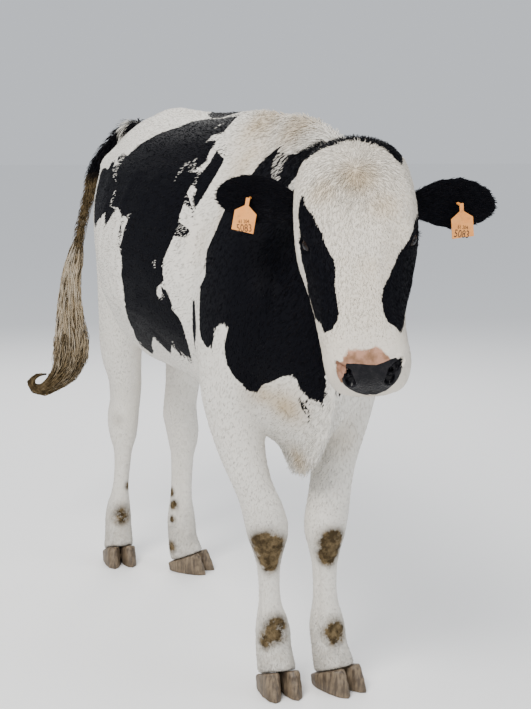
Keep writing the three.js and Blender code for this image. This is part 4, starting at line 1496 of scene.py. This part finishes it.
claw_group, given, out = new_group(
    "horn colours", [("Ring step", "Float", 330.0)],
    [("Base Color", "Color"), ("Roughness", "Float"), ("Height", "Float")])
tree = claw_group
place = node(tree, "ShaderNodeTexCoord").outputs["Object"]
level = node(tree, "ShaderNodeSeparateXYZ", {0: place}).outputs["Z"]
streaks = node(tree, "ShaderNodeTexNoise", {
    "Vector": node(tree, "ShaderNodeVectorMath", {0: place, 1: (1.0, 1.0, 0.12)},
                   operation="MULTIPLY").outputs[0],
    "Scale": 150.0, "Detail": 4.0}).outputs[0]
horn = blend(tree, spread(tree, streaks, 0.38, 0.62), (0.060, 0.042, 0.028, 1), (0.21, 0.155, 0.10, 1))
soil = maths(tree, "MULTIPLY", spread(tree, level, 0.0, 0.05, 1.0, 0.35),
             spread(tree, noise(tree, 40, 5, 0.7), 0.35, 0.65))
colour = blend(tree, soil, horn, (0.075, 0.055, 0.035, 1))
rings = maths(tree, "SINE", maths(tree, "ADD", maths(tree, "MULTIPLY", level, given["Ring step"]),
                                  maths(tree, "MULTIPLY", noise(tree, 30), 5.0)))
tree.links.new(colour, out.inputs["Base Color"])
tree.links.new(spread(tree, streaks, 0.3, 0.7, 0.42, 0.68), out.inputs["Roughness"])
tree.links.new(maths(tree, "ADD", rings, maths(tree, "MULTIPLY", noise(tree, 300, 4), 0.8)),
               out.inputs["Height"])
claw_look = new_material("horn", claw_group, {}, ("Base Color", "Roughness"), bump=0.0005,
                         Specular_IOR_Level=0.4)
claws.data.materials.clear()
claws.data.materials.append(claw_look)
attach(claws, "root")
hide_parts(*claw_names)
print("claws:", len(claws.data.polygons), "faces")

# %% [markdown]
# ## Eyes
# Each eye is a ball with a bulging front. Its points know how far they lie from the line of
# sight, so the shader can draw the brown iris, the wide dark pupil and the pale rim.

# %% Make the eyes
def eye_ball(side):
    eye = EYES[side]
    level, upright, gaze = (Vector(direction) for direction in eye_frame(side))
    gaze = (gaze - level * 0.12 - upright * 0.05).normalized()
    level = (level - gaze * level.dot(gaze)).normalized()
    upright = gaze.cross(level)
    bm = bmesh.new()
    bmesh.ops.create_uvsphere(bm, u_segments=72, v_segments=48, radius=1.0)
    shown = []
    for vert in bm.verts:
        ahead, across, up = vert.co.z, vert.co.x, vert.co.y
        bulge = 1 + 0.05 * max(0.0, (ahead - 0.72) / 0.28) ** 0.8
        vert.co = (gaze * ahead + level * across + upright * up) * (EYE_RADIUS - 0.9) * bulge
        vert.co = HEAD @ ((vert.co + Vector(eye)) / 1000)
        shown.append((math.hypot(across, up) if ahead > 0 else 2.0, math.hypot(across / 0.40, up / 0.22)))
    return bm, np.array(shown)


eye_meshes = bmesh.new()
shown = []
for name in EYES:
    ball, marks = eye_ball(name)
    mesh = bpy.data.meshes.new(name)
    ball.to_mesh(mesh)
    ball.free()
    eye_meshes.from_mesh(mesh)
    bpy.data.meshes.remove(mesh)
    shown.append(marks)
eyes = finished("eyes", eye_meshes)
shown = np.concatenate(shown)
carry(eyes.data, {"from_gaze": shown[:, 0], "pupil": shown[:, 1]})
iris_group, given, out = new_group("eye colours", [("Iris edge", "Float", 0.68)],
                                   [("Base Color", "Color"), ("Roughness", "Float")])
tree = iris_group
fibres = noise(tree, 900, 3)
iris = blend(tree, spread(tree, fibres, 0.35, 0.65), (0.010, 0.005, 0.003, 1), (0.035, 0.018, 0.009, 1))
iris = blend(tree, spread(tree, carried(tree, "from_gaze"), 0.52, 0.68), iris, (0.004, 0.003, 0.003, 1))
iris = blend(tree, spread(tree, carried(tree, "pupil"), 1.15, 0.9), iris, (0.002, 0.002, 0.004, 1))
past = maths(tree, "SUBTRACT", carried(tree, "from_gaze"), given["Iris edge"])
white_part = blend(tree, spread(tree, fibres, 0.3, 0.7), (0.055, 0.038, 0.030, 1), (0.025, 0.016, 0.012, 1))
tree.links.new(blend(tree, spread(tree, past, -0.01, 0.06), iris, white_part), out.inputs["Base Color"])
tree.links.new(spread(tree, past, 0.0, 0.1, 0.12, 0.3), out.inputs["Roughness"])
eye_look = new_material("wet eye", iris_group, {}, ("Base Color", "Roughness"),
                        Coat_Weight=0.35, Coat_Roughness=0.02, Specular_IOR_Level=0.1)
eyes.data.materials.append(eye_look)
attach(eyes, "root")
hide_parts("left_eye", "right_eye")

# %% Lashes
def lash_row(side, seed, upper):
    """Roots, directions and lengths of the lashes of one lid, in the head's millimetres."""
    draw = np.random.default_rng(seed)
    level, upright, out = eye_frame(side)
    count = 80 if upper else 36
    along = (draw.random(count) * 2 - 1) * LID_HALF_LENGTH * 0.93
    height = (LID_HEIGHTS[0] if upper else -LID_HEIGHTS[1]) * (1 - (along / LID_HALF_LENGTH) ** 2)
    depth = np.sqrt(np.maximum((EYE_RADIUS + 1.6) ** 2 - along ** 2 - height ** 2, 9.0))
    parts_of_root = (level, along), (upright, height), (out, depth)
    roots = EYES[side] + sum(direction * reach[:, None] for direction, reach in parts_of_root)
    fan = along / 30 - 0.2
    lean = out * 0.8 + level * fan[:, None] + upright * (-0.2 if upper else -0.6)
    lean += draw.normal(0, 0.10, (count, 3))
    length = (16 if upper else 7) * (0.6 + 0.5 * draw.random(count)) * (1 - 0.4 * np.abs(along) / 22)
    curl = np.tile((0.0, 0.0, 0.30 if upper else -0.1), (count, 1))
    return roots, unit(lean), length, curl


rows = [lash_row(side, seed, upper) for seed, (side, upper) in enumerate(
    [("left", True), ("left", False), ("right", True), ("right", False)])]
roots, lean, length, curl = (np.concatenate(column) for column in zip(*rows))


def lash_lines(t):
    places = roots + (lean * t + curl * t * t - np.array((0, 0, 0.25)) * t * (1 - t)) * length[:, None]
    return (places @ head_turned.T) / 1000 + np.array(HEAD.translation)


count = len(length)
lash_side = unit(np.cross(lean @ head_turned.T, (0.3, 0.2, 1.0)))
lash_up = unit(np.cross(lean @ head_turned.T, lash_side))
values = {key: np.zeros(count) for key in ("mud", "cream", "pink", "nose", "tone")}
lashes = grow("lashes", 4, lash_lines, lash_side, lash_up, np.full(count, 0.0006), 0.9,
              {"mark": np.full(count, FAR), **values},
              np.full((count, 2), 0.5), hair_look)
print("eyes:", len(eyes.data.polygons), "faces;", count, "lashes")

# %% [markdown]
# ## Ear tags
# The tags keep the solids' shape with softened edges. They carry a plain made-up number,
# as raised ink on the face that looks forward.

# %% Soften and number the tags
tag_group, given, out = new_group("tag plastic", [("Wear", "Float", 0.4)],
                                  [("Base Color", "Color"), ("Roughness", "Float"), ("Height", "Float")])
tree = tag_group
grime = maths(tree, "MULTIPLY", spread(tree, noise(tree, 90, 5, 0.7), 0.52, 0.75), given["Wear"])
fade = blend(tree, spread(tree, noise(tree, 25), 0.3, 0.7), (0.80, 0.27, 0.045, 1), (0.86, 0.36, 0.09, 1))
tree.links.new(blend(tree, grime, fade, (0.20, 0.09, 0.03, 1)), out.inputs["Base Color"])
tree.links.new(spread(tree, noise(tree, 200, 4), 0.3, 0.7, 0.38, 0.56), out.inputs["Roughness"])
tree.links.new(noise(tree, 500, 3), out.inputs["Height"])
tag_look = new_material("orange plastic", tag_group, {}, ("Base Color", "Roughness"), bump=0.0002,
                        Subsurface_Weight=0.0)
ink_group, given, out = new_group("ink", [("Fade", "Float", 0.5)],
                                  [("Base Color", "Color"), ("Roughness", "Float")])
tree = ink_group
patchy_ink = maths(tree, "MULTIPLY", spread(tree, noise(tree, 300, 3), 0.45, 0.7), given["Fade"])
tree.links.new(blend(tree, patchy_ink, (0.012, 0.008, 0.007, 1), (0.16, 0.06, 0.02, 1)),
               out.inputs["Base Color"])
tree.links.new(spread(tree, noise(tree, 300), 0.3, 0.7, 0.45, 0.6), out.inputs["Roughness"])
ink_look = new_material("ink", ink_group, {}, ("Base Color", "Roughness"))


def face_of(mesh, towards):
    """Corners and normal of the largest flat side that looks a given way."""
    normals = np.array([p.normal for p in mesh.polygons])
    areas = np.array([p.area for p in mesh.polygons])
    middles = np.array([p.center for p in mesh.polygons])
    best = max(range(len(areas)), key=lambda i: areas[i] if normals[i] @ towards > 0.3 else 0.0)
    same = (normals @ normals[best] > 0.999) & (np.abs((middles - middles[best]) @ normals[best]) < 2e-4)
    corners = np.array([mesh.vertices[v].co for i in np.nonzero(same)[0] for v in mesh.polygons[i].vertices])
    return corners, normals[best]


def digits(text, size, middle, right, up, outward):
    """Flat letters, made solid and laid on a plane."""
    curve = bpy.data.curves.new("digits", "FONT")
    curve.body, curve.size, curve.extrude = text, size, 0.00025
    curve.align_x, curve.align_y, curve.resolution_u = "CENTER", "CENTER", 4
    flat = bpy.data.objects.new("digits", curve)
    bpy.context.scene.collection.objects.link(flat)
    graph = bpy.context.evaluated_depsgraph_get()
    mesh = bpy.data.meshes.new_from_object(flat.evaluated_get(graph))
    bpy.data.objects.remove(flat)
    bpy.data.curves.remove(curve)
    frame_of_face = Matrix((right, up, outward)).transposed().to_4x4()
    tall = Matrix.Diagonal((1.0, 1.35, 1.0, 1.0))
    mesh.transform(Matrix.Translation(middle) @ frame_of_face @ tall)
    return mesh


for side, numbers in (("left", ("5083", "61 204")), ("right", ("5083", "61 204"))):
    source = f"{side}_ear_tag"
    tag = cad_copy([source], f"{side}_tag_plate")
    corners_of_face, outward = face_of(tag.data, np.array(LENS_AT - tag.data.vertices[0].co))
    modified(tag, "BEVEL", width=0.0005, segments=2, limit_method="ANGLE", profile=0.5)
    tag.data.materials.clear()
    tag.data.materials.append(tag_look)
    tag.data.shade_flat()
    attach(tag, "root")
    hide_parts(source)
    outward = Vector(outward)
    middle = Vector(corners_of_face.mean(axis=0))
    stem_end = Vector(corners_of_face[corners_of_face[:, 2].argmax()])
    lowest = corners_of_face[corners_of_face[:, 2].argsort()[:4]]
    foot = Vector(lowest.mean(axis=0))
    up = (stem_end - foot).normalized()
    up = (up - outward * up.dot(outward)).normalized()
    right_way = up.cross(outward)
    across = (corners_of_face - np.array(middle)) @ np.array(right_way)
    above = (corners_of_face - np.array(middle)) @ np.array(up)
    foot = middle + right_way * float(across.min() + across.max()) / 2 + up * float(above.min())
    bm = bmesh.new()
    for text, size, rise in ((numbers[0], 0.0165, 0.0115), (numbers[1], 0.0080, 0.0255)):
        line = digits(text, size, foot + up * rise + outward * 0.0001, right_way, up, outward)
        bm.from_mesh(line)
        bpy.data.meshes.remove(line)
    ink = finished(f"{side}_tag_digits", bm, smooth=False)
    ink.data.materials.append(ink_look)
    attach(ink, "root")
    print(side, "tag faces", tuple(round(v, 2) for v in outward), "plate height from",
          round(foot.z, 3), "to", round(stem_end.z, 3))

# %% Finish
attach(skin, "root")
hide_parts(*FLESH)
